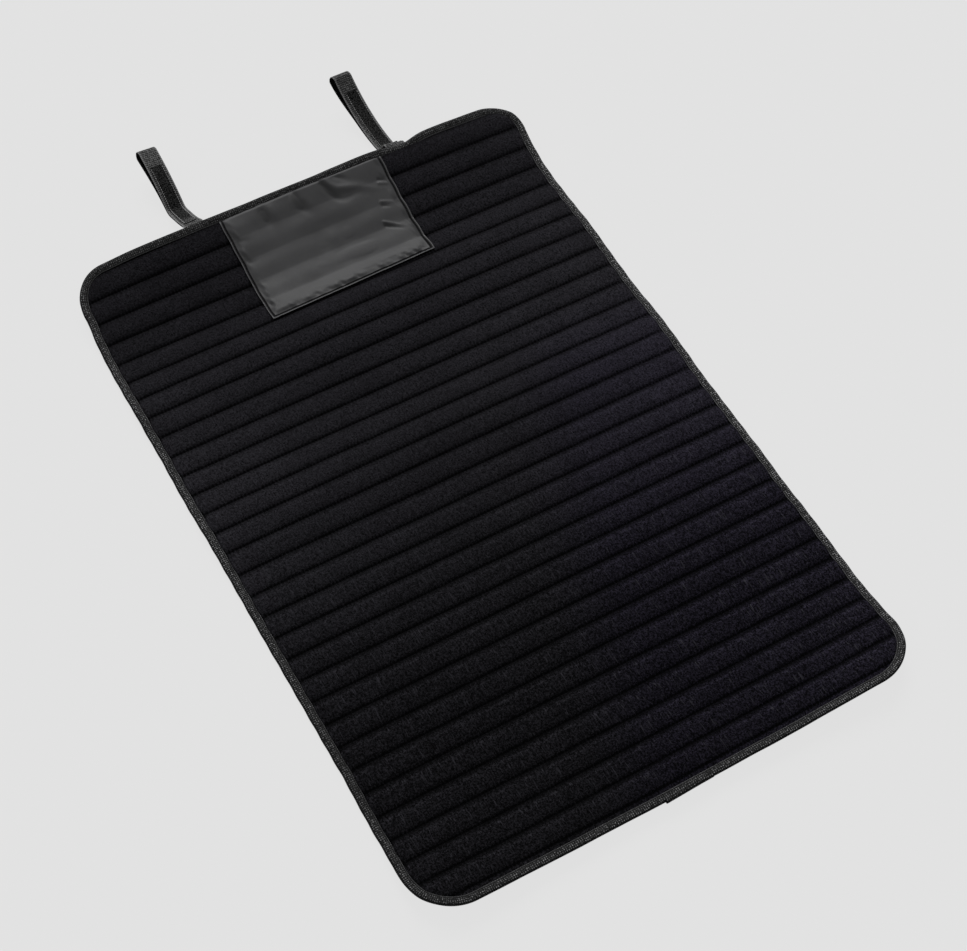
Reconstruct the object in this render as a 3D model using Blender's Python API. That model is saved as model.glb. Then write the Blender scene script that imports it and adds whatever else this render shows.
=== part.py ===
"""Quilted kayak roof pad with two hook-and-pile fixing straps, lying as it comes out of its roll.

X runs across the pad, +Y towards the strap end, +Z up. Sizes are in metres.
The origin is on the floor, under the crown of a quilted band near the middle that lies flat.
"""
import math

import bmesh
import bpy
import numpy as np

# Quilting and outline
PAD_WIDTH = 0.600
SEAM_PITCH = 0.0292
SEAM_COUNT = 30
ORIGIN_BAND = 14
NEAR_MARGIN = 0.0145
CORNER_RADIUS = 0.048
RIM_SLOPE = 0.0085

# Layers, from the floor up: backing, foam, face cloth
BACKING_THICKNESS = 0.0007
FOAM_CROWN = 0.0050
FOAM_SEAM = 0.0006
CLOTH_THICKNESS = 0.0007
LAYER_GAP = 0.0003
SEAM_TUCK = 0.0013
CROWN_ROUNDNESS = 0.6
BACKING_FLAT = 0.70

# Folded binding tape round the edge
BINDING_WIDTH = 0.0092
BINDING_THICKNESS = 0.0008
BINDING_LEG_GAP = 0.0004
BINDING_EDGE_GAP = 0.0005
BINDING_EDGE_ROUND = 0.0012
CORNER_STEPS = 8

# Front patch
PATCH_LEFT = -0.1015
PATCH_RIGHT = 0.1165
PATCH_LENGTH = 0.1433
PATCH_THICKNESS = 0.0005

# How the pad lies: curled ends, heights at the middle and the mean of both sides
STRAP_CURL_REACH = 0.125
STRAP_CURL_POWER = 1.5
STRAP_CURL_MIDDLE = 0.0353
STRAP_CURL_SIDE = 0.0272
STRAP_CURL_TILT = 0.0021
NEAR_CURL_REACH = 0.125
NEAR_CURL_POWER = 1.3
NEAR_CURL_MIDDLE = 0.0105
NEAR_CURL_SIDE = 0.0241
NEAR_CURL_TILT = 0.0033

# How the pad lies: two low waves across it, as distance from the strap end, half length,
# height at the middle and height at the sides
WAVES = (
    (0.390, 0.080, 0.0060, 0.0038),
    (0.200, 0.080, 0.0065, 0.0033),
)

# Straps
STRAP_WIDTH = 0.0215
STRAP_THICKNESS = 0.0012
STRAP_REACH = 0.150
STRAP_ROOT = 0.0090
STRAP_GAP = 0.0004
STRAP_FOLD_RADIUS = 0.0052
STRAP_OPENING_LENGTH = 0.055
STRAP_BACK_END = 0.008
STRAP_LEAVE_LENGTH = 0.008
STRAP_BEND_LENGTH = 0.014
STRAP_STEP = 0.0075
STRAP_FOLD_STEPS = 8

# How each strap lies: x at its root, drift in x of its fold, sideways offset of its lower run,
# angle of its drop, distance to its bend, angles of its rise after the bend and at the fold
STRAPS = {
    "left": (-0.1300, 0.0, 0.003, math.radians(-27.5), 0.0625, math.radians(36), math.radians(7)),
    "right": (0.1463, -0.0115, 0.004, math.radians(-66), 0.030, math.radians(-6), math.radians(39)),
}

# Tapes on the straps
PILE_WIDTH = 0.016
PILE_THICKNESS = 0.0012
PILE_LENGTH = 0.112
PILE_TIP_MARGIN = 0.027
HOOK_WIDTH = 0.016
HOOK_THICKNESS = 0.0008
HOOK_LENGTH = 0.040
HOOK_END_MARGIN = 0.030

# Places worked out from the sizes above
SIDE_MARGIN = BINDING_WIDTH + LAYER_GAP
LAYER_INSET = BINDING_THICKNESS + BINDING_EDGE_GAP
NEAR_SEAM_Y = (0.5 - ORIGIN_BAND) * SEAM_PITCH
STRAP_SEAM_Y = NEAR_SEAM_Y + SEAM_COUNT * SEAM_PITCH
STRAP_EDGE_Y = STRAP_SEAM_Y + SIDE_MARGIN
NEAR_EDGE_Y = NEAR_SEAM_Y - NEAR_MARGIN
PAD_MIDDLE_Y = (STRAP_EDGE_Y + NEAR_EDGE_Y) / 2
PAD_LENGTH = STRAP_EDGE_Y - NEAR_EDGE_Y
SEAM_ROWS = [NEAR_SEAM_Y + SEAM_PITCH * k for k in range(SEAM_COUNT)] + [STRAP_SEAM_Y]
END_STEPS = (0.0, 0.12, 0.36, 0.66)

# Heights above the pad's resting plane, at a seam and at a crown
BACKING_LOW = (SEAM_TUCK, 0.0)
BACKING_HIGH = tuple(z + BACKING_THICKNESS for z in BACKING_LOW)
FOAM_LOW = tuple(z + LAYER_GAP for z in BACKING_HIGH)
FOAM_HIGH = (FOAM_LOW[0] + FOAM_SEAM, FOAM_LOW[1] + FOAM_CROWN)
CLOTH_LOW = tuple(z + LAYER_GAP for z in FOAM_HIGH)
CLOTH_HIGH = tuple(z + CLOTH_THICKNESS for z in CLOTH_LOW)
BINDING_HIGH = CLOTH_HIGH[0] + BINDING_LEG_GAP + BINDING_THICKNESS
BINDING_LOW = BACKING_LOW[0] - BINDING_LEG_GAP - BINDING_THICKNESS


def clear_scene():
    """Removes what a new Blender file already holds."""
    for item in list(bpy.data.objects):
        bpy.data.objects.remove(item)


def material(name, color, roughness):
    """A Principled material with one colour and no metal in it."""
    finish = bpy.data.materials.new(name)
    finish.use_nodes = True
    shader = finish.node_tree.nodes["Principled BSDF"]
    shader.inputs["Base Color"].default_value = (*color, 1.0)
    shader.inputs["Roughness"].default_value = roughness
    shader.inputs["Metallic"].default_value = 0.0
    return finish


def add_object(name, points, faces, finish):
    """Makes one object from points and faces."""
    mesh = bpy.data.meshes.new(name)
    mesh.from_pydata([tuple(map(float, p)) for p in points], [], faces)
    mesh.validate()
    mesh.materials.append(finish)
    part = bpy.data.objects.new(name, mesh)
    bpy.context.scene.collection.objects.link(part)
    return part


def curl(distance, reach, power):
    """Share of an end's curl at a distance in from that end, from 1 at the end to 0."""
    return max(0.0, 1.0 - distance / reach) ** power


def lift_at_row(y):
    """Height of the resting plane at row y: at the middle, at the sides, and what the sides differ."""
    strap = curl(STRAP_EDGE_Y - y, STRAP_CURL_REACH, STRAP_CURL_POWER)
    near = curl(y - NEAR_EDGE_Y, NEAR_CURL_REACH, NEAR_CURL_POWER)
    middle = strap * STRAP_CURL_MIDDLE + near * NEAR_CURL_MIDDLE
    side = strap * STRAP_CURL_SIDE + near * NEAR_CURL_SIDE
    tilt = strap * STRAP_CURL_TILT + near * NEAR_CURL_TILT
    for from_strap_end, half_length, wave_middle, wave_side in WAVES:
        past_top = STRAP_EDGE_Y - from_strap_end - y
        if abs(past_top) < half_length:
            share = math.cos(math.pi / 2 * past_top / half_length) ** 2
            middle += share * wave_middle
            side += share * wave_side
    return middle, side, tilt


LIFT_ROWS = [NEAR_EDGE_Y] + SEAM_ROWS + [STRAP_EDGE_Y]
LIFTS = np.array([lift_at_row(y) for y in LIFT_ROWS])


def lift(x, y):
    """Height of the resting plane: the pad bends at its seams and each band stays straight."""
    middle, side, tilt = (np.interp(y, LIFT_ROWS, LIFTS[:, k]) for k in range(3))
    share = x / (PAD_WIDTH / 2)
    return middle + (side - middle) * abs(share) + tilt * share


def half_width(y, inset):
    """Half of the pad's width at y, measured inside its rounded outline."""
    past_corner = abs(y - PAD_MIDDLE_Y) - (PAD_LENGTH / 2 - CORNER_RADIUS)
    if past_corner <= 0:
        return PAD_WIDTH / 2 - inset
    arc = (CORNER_RADIUS - inset) ** 2 - past_corner ** 2
    return PAD_WIDTH / 2 - CORNER_RADIUS + math.sqrt(max(0.0, arc))


def quilt_rows(steps):
    """Rows from the near end to the strap end, each with its fullness, 0 at a seam and 1 at a crown.

    steps lists the rows inside a band as its share of the pitch and its fullness.
    """
    near_end = NEAR_EDGE_Y + LAYER_INSET
    strap_end = STRAP_EDGE_Y - LAYER_INSET
    rows = [(near_end + (SEAM_ROWS[0] - near_end) * t, 0.0) for t in END_STEPS]
    for low, high in zip(SEAM_ROWS[:-1], SEAM_ROWS[1:]):
        rows.append((low, 0.0))
        rows.extend((low + (high - low) * share, fullness) for share, fullness in steps)
    rows.append((STRAP_SEAM_Y, 0.0))
    rows.extend((strap_end + (STRAP_SEAM_Y - strap_end) * t, 0.0) for t in reversed(END_STEPS))
    return rows


def layer_columns(y, rise):
    """X of a row's points: outline, inner edge of the binding, foot of the crown, middle, and mirrored."""
    least_step = 0.0015
    outer = half_width(y, LAYER_INSET)
    inner = min(half_width(y, SIDE_MARGIN), outer - least_step)
    crown = min(half_width(y, SIDE_MARGIN + rise), inner - least_step)
    return [-outer, -inner, -crown, 0.0, crown, inner, outer]


def split_quad(points, quad, pick):
    """Splits a four-sided face along the diagonal that pick chooses by height."""
    a, b, c, d = quad
    first = points[a][2] + points[c][2]
    second = points[b][2] + points[d][2]
    if pick(first, second) == first:
        return [(a, b, c), (a, c, d)]
    return [(b, c, d), (b, d, a)]


def sheet_solid(name, high, low, high_pick, low_pick, finish):
    """Closes two grids of points, an upper and a lower one of equal size, into one solid."""
    rows = len(high)
    columns = len(high[0])
    points = [p for row in high for p in row] + [p for row in low for p in row]
    below = rows * columns
    faces = []
    for i in range(rows - 1):
        for j in range(columns - 1):
            a = i * columns + j
            b = a + 1
            c = b + columns
            d = a + columns
            faces += split_quad(points, (a, b, c, d), high_pick)
            faces += split_quad(points, (a + below, d + below, c + below, b + below), low_pick)
    border = [j for j in range(columns - 1)]
    border += [i * columns + columns - 1 for i in range(rows - 1)]
    border += [(rows - 1) * columns + j for j in range(columns - 1, 0, -1)]
    border += [i * columns for i in range(rows - 1, 0, -1)]
    for a, b in zip(border, border[1:] + border[:1]):
        faces.append((a, a + below, b + below, b))
    return add_object(name, points, faces, finish)


def quilted_layer(name, steps, low, high, rise, picks, finish):
    """One layer of the pad. low and high are its faces' heights at a seam and at a crown."""
    grids = []
    for seam, crown in (high, low):
        grid = []
        for y, fullness in quilt_rows(steps):
            columns = layer_columns(y, rise)
            crowned = [0, 0, 1, 1, 1, 0, 0]
            heights = [seam + (crown - seam) * fullness * share for share in crowned]
            grid.append([(x, y, lift(x, y) + z) for x, z in zip(columns, heights)])
        grids.append(grid)
    return sheet_solid(name, grids[0], grids[1], picks[0], picks[1], finish)


def roundness(share):
    """Fullness of a round crown at a share of the way across its band."""
    return (1 - (2 * share - 1) ** 2) ** CROWN_ROUNDNESS


FACE_STEPS = [(share, roundness(share)) for share in (1 / 6, 1 / 2, 5 / 6)]
FOAM_STEPS = [(1 / 2, 1.0)]
BACKING_STEPS = [((1 - BACKING_FLAT) / 2, 1.0), ((1 + BACKING_FLAT) / 2, 1.0)]


def make_layers():
    """Backing, foam and face cloth, each clear of the next by the layer gap."""
    quilted_layer("backing_sheet", BACKING_STEPS, BACKING_LOW, BACKING_HIGH, RIM_SLOPE, (min, min),
                  material("backing_fabric", (0.030, 0.030, 0.034), 0.8))
    quilted_layer("foam_padding", FOAM_STEPS, FOAM_LOW, FOAM_HIGH, RIM_SLOPE * 1.7, (min, max),
                  material("padding_foam", (0.35, 0.35, 0.36), 0.9))
    quilted_layer("face_cloth", FACE_STEPS, CLOTH_LOW, CLOTH_HIGH, RIM_SLOPE, (max, max),
                  material("face_fabric", (0.012, 0.011, 0.014), 0.95))


def outline_stations():
    """Points round the pad's outline, with the direction that points inwards at each."""
    stations = []
    half = PAD_WIDTH / 2
    corner_x = half - CORNER_RADIUS
    strap_corner_y = STRAP_EDGE_Y - CORNER_RADIUS
    near_corner_y = NEAR_EDGE_Y + CORNER_RADIUS
    straight = [y for y in SEAM_ROWS if near_corner_y < y < strap_corner_y]
    stations += [((half, y), (-1.0, 0.0)) for y in straight]
    stations += corner_stations(corner_x, strap_corner_y, 0)
    stations.append(((0.0, STRAP_EDGE_Y), (0.0, -1.0)))
    stations += corner_stations(-corner_x, strap_corner_y, 1)
    stations += [((-half, y), (1.0, 0.0)) for y in reversed(straight)]
    stations += corner_stations(-corner_x, near_corner_y, 2)
    stations.append(((0.0, NEAR_EDGE_Y), (0.0, 1.0)))
    stations += corner_stations(corner_x, near_corner_y, 3)
    return stations


def corner_stations(centre_x, centre_y, quarter):
    """Points round one corner of the outline, from the quarter turn it starts at."""
    stations = []
    for k in range(CORNER_STEPS + 1):
        angle = math.pi / 2 * (quarter + k / CORNER_STEPS)
        out = (math.cos(angle), math.sin(angle))
        place = (centre_x + CORNER_RADIUS * out[0], centre_y + CORNER_RADIUS * out[1])
        stations.append((place, (-out[0], -out[1])))
    return stations


def make_binding():
    """The tape folded round the pad's edge, a U in section, swept round the outline."""
    inner_high = BINDING_HIGH - BINDING_THICKNESS
    inner_low = BINDING_LOW + BINDING_THICKNESS
    section = (
        (BINDING_WIDTH, BINDING_HIGH),
        (BINDING_EDGE_ROUND, BINDING_HIGH),
        (0.0, BINDING_HIGH - BINDING_EDGE_ROUND),
        (0.0, BINDING_LOW + BINDING_EDGE_ROUND),
        (BINDING_EDGE_ROUND, BINDING_LOW),
        (BINDING_WIDTH, BINDING_LOW),
        (BINDING_WIDTH, inner_low),
        (BINDING_THICKNESS, inner_low),
        (BINDING_THICKNESS, inner_high),
        (BINDING_WIDTH, inner_high),
    )
    points = []
    for (x, y), inward in outline_stations():
        for depth, z in section:
            px = x + inward[0] * depth
            py = y + inward[1] * depth
            points.append((px, py, lift(px, py) + z))
    size = len(section)
    count = len(points) // size
    faces = []
    for i in range(count):
        ahead = (i + 1) % count
        for j in range(size):
            k = (j + 1) % size
            faces.append((i * size + j, i * size + k, ahead * size + k, ahead * size + j))
    binding = add_object("edge_binding", points, faces, material("binding_tape", (0.030, 0.030, 0.032), 0.85))
    point_outwards(binding)


def point_outwards(part):
    """Turns a closed object's faces so that they all point out of it."""
    work = bmesh.new()
    work.from_mesh(part.data)
    bmesh.ops.recalc_face_normals(work, faces=work.faces)
    work.to_mesh(part.data)
    work.free()


def make_patch():
    """The smooth patch sewn on the face cloth, from the strap end's binding towards the near end."""
    face = quilt_rows(FACE_STEPS)
    face_y = [y for y, _ in face]
    face_fullness = [fullness for _, fullness in face]
    top_y = STRAP_SEAM_Y
    bottom_y = top_y - PATCH_LENGTH
    rows = [bottom_y] + [y for y in face_y if bottom_y < y <= top_y]
    grids = []
    for above in (LAYER_GAP + PATCH_THICKNESS, LAYER_GAP):
        grid = []
        for y in rows:
            seam, crown = CLOTH_HIGH
            z = seam + (crown - seam) * float(np.interp(y, face_y, face_fullness)) + above
            grid.append([(x, y, lift(x, y) + z) for x in (PATCH_LEFT, 0.0, PATCH_RIGHT)])
        grids.append(grid)
    sheet_solid("front_patch", grids[0], grids[1], max, max, material("patch_nylon", (0.045, 0.045, 0.047), 0.45))


def smooth(t):
    """A share from 0 to 1 that starts and ends gently."""
    t = min(1.0, max(0.0, t))
    return t * t * (3 - 2 * t)


def front_run(x, lean, drop, bend_at, run_start, run_end):
    """The strap's upper run from its root to its fold, as distance past the edge, x, y, z and angle.

    It leaves along the pad's slope, drops at one angle, bends near the floor and rises to the fold.
    """
    under = BINDING_LOW - LAYER_GAP - STRAP_THICKNESS / 2
    slope = math.atan2(lift(x, STRAP_EDGE_Y) - lift(x, STRAP_EDGE_Y - STRAP_ROOT), STRAP_ROOT)
    length = STRAP_REACH - STRAP_FOLD_RADIUS
    steps = round(length / STRAP_STEP)
    y = STRAP_EDGE_Y
    z = lift(x, STRAP_EDGE_Y) + under
    root_y = y - STRAP_ROOT
    run = [(-STRAP_ROOT, x, root_y, lift(x, root_y) + under, slope), (0.0, x, y, z, slope)]
    fine = 4
    for k in range(1, steps * fine + 1):
        along = length * k / (steps * fine)
        leave = smooth(along / STRAP_LEAVE_LENGTH)
        turn = smooth((along - bend_at) / STRAP_BEND_LENGTH + 0.5)
        rise = run_start + (run_end - run_start) * smooth_share(along, bend_at, length)
        angle = (slope * (1 - leave) + drop * leave) * (1 - turn) + rise * turn
        y += math.cos(angle) * length / (steps * fine)
        z += math.sin(angle) * length / (steps * fine)
        if k % fine == 0:
            run.append((along, x + lean * along / length, y, z, angle))
    return run


def smooth_share(along, start, end):
    """Share of the way from start to end, kept between 0 and 1."""
    return min(1.0, max(0.0, (along - start) / (end - start)))


def strap_routes(x, lean, skew, drop, bend_at, run_start, run_end):
    """Centre lines of a strap's upper run, its fold and its lower run, as lists of points."""
    run = front_run(x, lean, drop, bend_at, run_start, run_end)
    length, end_x, end_y, end_z, end_angle = run[-1]
    close = STRAP_THICKNESS + STRAP_GAP
    wide = 2 * STRAP_FOLD_RADIUS
    down = (math.sin(end_angle), -math.cos(end_angle))
    ahead = (math.cos(end_angle), math.sin(end_angle))
    fold = []
    for k in range(1, STRAP_FOLD_STEPS):
        turn = math.pi * k / STRAP_FOLD_STEPS
        out = STRAP_FOLD_RADIUS * math.sin(turn)
        drop_by = STRAP_FOLD_RADIUS * (1 - math.cos(turn))
        y = end_y + ahead[0] * out + down[0] * drop_by
        z = end_z + ahead[1] * out + down[1] * drop_by
        fold.append((end_x - skew * k / STRAP_FOLD_STEPS, y, z))
    back = []
    for along, px, py, pz, angle in reversed(run):
        if along < STRAP_BACK_END:
            break
        open_share = smooth((along - (length - STRAP_OPENING_LENGTH)) / STRAP_OPENING_LENGTH)
        apart = close + (wide - close) * open_share
        shifted = px - skew * along / length
        back.append((shifted, py + math.sin(angle) * apart, pz - math.cos(angle) * apart))
    front = [(px, py, pz) for _, px, py, pz, _ in run]
    return front, fold, back


def band_solid(name, route, width, thickness, offset, bank, finish):
    """A flat band swept along a route, offset towards its upper side. bank is its rise across its width."""
    points = []
    for k, (x, y, z) in enumerate(route):
        before = route[max(0, k - 1)]
        after = route[min(len(route) - 1, k + 1)]
        run = math.hypot(after[1] - before[1], after[2] - before[2])
        up = (-(after[2] - before[2]) / run, (after[1] - before[1]) / run)
        for side, height in ((-1, -1), (1, -1), (1, 1), (-1, 1)):
            rise = offset + height * thickness / 2
            across = side * width / 2
            points.append((x + across, y + up[0] * rise, z + up[1] * rise + across * bank))
    faces = [(3, 2, 1, 0)]
    for k in range(len(route) - 1):
        for j in range(4):
            low = 4 * k + j
            high = 4 * k + (j + 1) % 4
            faces.append((low, high, high + 4, low + 4))
    last = 4 * (len(route) - 1)
    faces.append((last, last + 1, last + 2, last + 3))
    band = add_object(name, points, faces, finish)
    point_outwards(band)


def stretch(route, start, end):
    """The points of a route between two distances along it, with its own points kept."""
    points = np.array(route)
    along = np.concatenate([[0], np.cumsum(np.linalg.norm(np.diff(points, axis=0), axis=1))])
    least_step = 0.001
    kept = [s for s in along if start + least_step < s < end - least_step]
    wanted = [start] + kept + [end]
    return [tuple(float(np.interp(s, along, points[:, k])) for k in range(3)) for s in wanted]


def make_strap(side, x, lean, skew, drop, bend_at, run_start, run_end):
    """One strap with its pile tape on the upper run and its hook tape under the lower run."""
    front, fold, back = strap_routes(x, lean, skew, drop, bend_at, run_start, run_end)
    half = STRAP_WIDTH / 2
    bank = (lift(x + half, STRAP_EDGE_Y) - lift(x - half, STRAP_EDGE_Y)) / STRAP_WIDTH
    webbing = material("strap_webbing_" + side, (0.060, 0.060, 0.060), 0.8)
    band_solid("strap_" + side, front + fold + back, STRAP_WIDTH, STRAP_THICKNESS, 0.0, bank, webbing)
    pile_end = STRAP_ROOT + STRAP_REACH - PILE_TIP_MARGIN
    pile_offset = STRAP_THICKNESS / 2 + LAYER_GAP + PILE_THICKNESS / 2
    pile = stretch(front, pile_end - PILE_LENGTH, pile_end)
    band_solid("pile_tape_" + side, pile, PILE_WIDTH, PILE_THICKNESS, pile_offset, bank,
               material("pile_tape_" + side, (0.008, 0.008, 0.009), 0.95))
    free_end = list(reversed(back))
    hook_offset = STRAP_THICKNESS / 2 + LAYER_GAP + HOOK_THICKNESS / 2
    hook = stretch(free_end, HOOK_END_MARGIN, HOOK_END_MARGIN + HOOK_LENGTH)
    band_solid("hook_tape_" + side, hook, HOOK_WIDTH, HOOK_THICKNESS, -hook_offset, bank,
               material("hook_tape_" + side, (0.010, 0.010, 0.010), 0.6))


def main():
    """Builds every piece of the pad."""
    clear_scene()
    make_layers()
    make_binding()
    make_patch()
    for side, values in STRAPS.items():
        make_strap(side, *values)


main()
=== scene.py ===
import math

import bpy
import numpy as np
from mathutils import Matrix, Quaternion, Vector


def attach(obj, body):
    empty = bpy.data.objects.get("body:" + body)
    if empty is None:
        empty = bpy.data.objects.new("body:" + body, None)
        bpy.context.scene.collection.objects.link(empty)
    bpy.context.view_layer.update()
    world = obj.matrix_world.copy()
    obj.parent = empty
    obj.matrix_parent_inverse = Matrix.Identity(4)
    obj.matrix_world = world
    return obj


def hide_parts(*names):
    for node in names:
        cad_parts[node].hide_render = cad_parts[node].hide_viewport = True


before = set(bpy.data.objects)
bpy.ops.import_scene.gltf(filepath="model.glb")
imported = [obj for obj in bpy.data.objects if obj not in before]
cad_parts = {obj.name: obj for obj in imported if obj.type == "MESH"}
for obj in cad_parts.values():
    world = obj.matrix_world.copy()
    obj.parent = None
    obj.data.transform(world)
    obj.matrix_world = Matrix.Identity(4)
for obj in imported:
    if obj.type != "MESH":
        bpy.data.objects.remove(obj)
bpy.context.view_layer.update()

# ---------------------------------------------------------------------------
# Photographer's table: a plain pale floor, soft light from behind and above the strap end, and a
# camera that looks down on the pad from its near left corner.

PHOTO_WIDTH = 967
FOCAL_PIXELS = 2028.68
SENSOR_WIDTH = 36.0
CAMERA_PLACE = Vector((-0.62533, -1.03235, 1.92208))
CAMERA_TARGET = Vector((0.00711, 0.02661, 0.0092))
CAMERA_ROLL = 0.029158
CAMERA_FAR = 50.0
BACKGROUND = 0.7605
WORLD_LIGHT = 0.30
FLOOR_GLOW = 0.96
FLOOR_SIZE = 14.0
FLOOR_DROP = 0.0003


class Signal:
    """A socket in a shader. Sums on it add Math nodes, and node() adds a node of any other kind."""

    def __init__(self, tree, socket=None):
        self.tree = tree
        self.socket = socket

    def node(self, kind, settings=None, inputs=None, output=0):
        """A node of that kind, with its settings and the value or signal that each input takes."""
        made = self.tree.nodes.new(kind)
        for name, value in (settings or {}).items():
            setattr(made, name, value)
        for name, value in (inputs or {}).items():
            if isinstance(value, Signal):
                self.tree.links.new(value.socket, made.inputs[name])
            else:
                made.inputs[name].default_value = value
        return Signal(self.tree, made.outputs[output] if made.outputs else None)

    def math(self, operation, *values):
        return self.node("ShaderNodeMath", {"operation": operation}, dict(enumerate(values)))

    def __add__(self, other):
        return self.math("ADD", self, other)

    def __sub__(self, other):
        return self.math("SUBTRACT", self, other)

    def __rsub__(self, other):
        return self.math("SUBTRACT", other, self)

    def __mul__(self, other):
        return self.math("MULTIPLY", self, other)

    def __pow__(self, other):
        return self.math("POWER", self, other)

    __radd__ = __add__
    __rmul__ = __mul__

    def between(self, low, high):
        """0 below low, 1 above high and a smooth share between them."""
        return self.node("ShaderNodeMapRange", {"interpolation_type": "SMOOTHSTEP"},
                         {"Value": self, "From Min": low, "From Max": high})

    def close_to(self, place, full, end):
        """1 within full of a place, fading to 0 at the distance end from it."""
        away = self - place
        return 1 - away.math("ABSOLUTE", away).between(full, end)

    def wave(self, length):
        """A sine wave of that length along this distance, from 0 to 1."""
        angle = self * (math.tau / length)
        return angle.math("SINE", angle) * 0.5 + 0.5

    def mix(self, first, second):
        """A colour between two, by this share."""
        inputs = {0: self, 6: first, 7: second}
        return self.node("ShaderNodeMix", {"data_type": "RGBA"}, inputs, 2)


def material_tree(name):
    """A new material with an empty shader tree."""
    finish = bpy.data.materials.new(name)
    finish.use_nodes = True
    finish.node_tree.nodes.clear()
    return finish, Signal(finish.node_tree)


def seen_share(tree):
    """1 for a ray from the camera, or one that the camera sees in a gloss or through glass."""
    kinds = ("Camera", "Glossy", "Transmission")
    rays = [tree.node("ShaderNodeLightPath", {}, {}, "Is " + kind + " Ray") for kind in kinds]
    return tree.math("MAXIMUM", tree.math("MAXIMUM", rays[0], rays[1]), rays[2])


scene = bpy.context.scene
scene.view_settings.view_transform = "Standard"

floor_finish, paint = material_tree("pale_floor")
pale = (BACKGROUND, BACKGROUND, BACKGROUND, 1)
floor_shade = paint.node("ShaderNodeBsdfDiffuse", {}, {"Color": pale})
floor_glow = paint.node("ShaderNodeEmission", {}, {"Color": pale, "Strength": 1.0})
floor_seen = seen_share(paint) * FLOOR_GLOW
floor_mix = paint.node("ShaderNodeMixShader", {}, {0: floor_seen, 1: floor_shade, 2: floor_glow})
paint.node("ShaderNodeOutputMaterial", {}, {"Surface": floor_mix})
floor_mesh = bpy.data.meshes.new("floor")
half_floor = FLOOR_SIZE / 2
corners = ((-1, -1), (1, -1), (1, 1), (-1, 1))
floor_points = [(x * half_floor, y * half_floor, -FLOOR_DROP) for x, y in corners]
floor_mesh.from_pydata(floor_points, [], [(0, 1, 2, 3)])
floor_mesh.materials.append(floor_finish)
floor = bpy.data.objects.new("floor", floor_mesh)
scene.collection.objects.link(floor)

world = bpy.data.worlds.new("studio_air")
scene.world = world
world.use_nodes = True
world.node_tree.nodes.clear()
air = Signal(world.node_tree)
glow = air.node("ShaderNodeBackground", {}, {"Color": (1, 1, 1, 1), "Strength": WORLD_LIGHT})
seen = air.node("ShaderNodeBackground", {}, {"Color": pale, "Strength": 1.0})
only_camera = air.node("ShaderNodeLightPath", {}, {}, "Is Camera Ray")
air_mix = air.node("ShaderNodeMixShader", {}, {0: only_camera, 1: glow, 2: seen})
air.node("ShaderNodeOutputWorld", {}, {"Surface": air_mix})

# Each lamp: where its light comes from, how strong it is, and how wide it looks, in degrees
LAMPS = {
    "key_softbox": ((0.30, 0.80, 0.78), 2.90, 34),
    "side_softbox": ((-0.85, 0.2, 0.9), 0.45, 60),
}
for name, (source, strength, width) in LAMPS.items():
    lamp = bpy.data.lights.new(name, "SUN")
    lamp.energy = strength
    lamp.angle = math.radians(width)
    holder = bpy.data.objects.new(name, lamp)
    holder.location = Vector(source)
    holder.rotation_euler = Vector(source).to_track_quat("Z", "Y").to_euler()
    scene.collection.objects.link(holder)

camera = bpy.data.cameras.new("photo_camera")
camera.sensor_width = SENSOR_WIDTH
camera.lens = FOCAL_PIXELS * SENSOR_WIDTH / PHOTO_WIDTH
camera.clip_end = CAMERA_FAR
camera_holder = bpy.data.objects.new("photo_camera", camera)
camera_holder.location = CAMERA_PLACE
aim = (CAMERA_TARGET - CAMERA_PLACE).to_track_quat("-Z", "Y")
camera_holder.rotation_mode = "QUATERNION"
camera_holder.rotation_quaternion = aim @ Quaternion((0, 0, 1), CAMERA_ROLL)
scene.collection.objects.link(camera_holder)
scene.camera = camera_holder

# ---------------------------------------------------------------------------
# Backing: a sheet of coated polyester under the pad, against the car. It is cut with the foam and
# the face cloth, quilted to them in straight lines, and its edge is closed in the binding.

MM = 0.001
UP = np.array((0.0, 0.0, 1.0))
PAD_WIDTH = 0.600
# The padded bands between the quilting lines: their width and how many there are
SEAM_PITCH = 0.0292
SEAM_COUNT = 30
# Width of the strip past the last quilting line, at the strap end and at the near end
STRAP_STRIP = 0.0095
NEAR_STRIP = 0.0145
NEAR_SEAM_Y = -13.5 * SEAM_PITCH
STRAP_SEAM_Y = NEAR_SEAM_Y + SEAM_COUNT * SEAM_PITCH
STRAP_EDGE_Y = STRAP_SEAM_Y + STRAP_STRIP
NEAR_EDGE_Y = NEAR_SEAM_Y - NEAR_STRIP
# Radius of the corner at each side and end: left or right of the middle, strap end or near end
CORNERS = {(-1, 1): 0.050, (1, 1): 0.043, (1, -1): 0.058, (-1, -1): 0.053}
LAYER_INSET = 0.0013
BINDING_WIDTH = 0.0092
# Curled ends: reach, power, height at the middle and at the sides, difference of the sides
STRAP_CURL = (0.125, 1.5, 0.0353, 0.0272, 0.0021)
NEAR_CURL = (0.125, 1.3, 0.0105, 0.0241, 0.0033)
# Low waves: distance from the strap end, half length, height at the middle and at the sides
WAVES = ((0.390, 0.080, 0.0060, 0.0038), (0.200, 0.080, 0.0065, 0.0033))
# How far the left and right sides stray outwards at places along the pad, in millimetres
SIDE_PLACES = (-0.42, -0.34, -0.28, -0.22, -0.10, 0.0, 0.10, 0.36, 0.40, 0.435, 0.47, 0.49)
SIDE_STRAYS = {-1: (-2.5, 0.7, -0.3, -1.8, -1.3, -0.8, -0.1, -0.3, -1.4, -3.8, -2.2, 0.0),
               1: (-0.8, 0.3, 1.0, 2.0, 2.0, 2.0, 2.0, 2.0, 1.8, 3.2, 6.8, 4.0)}
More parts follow.
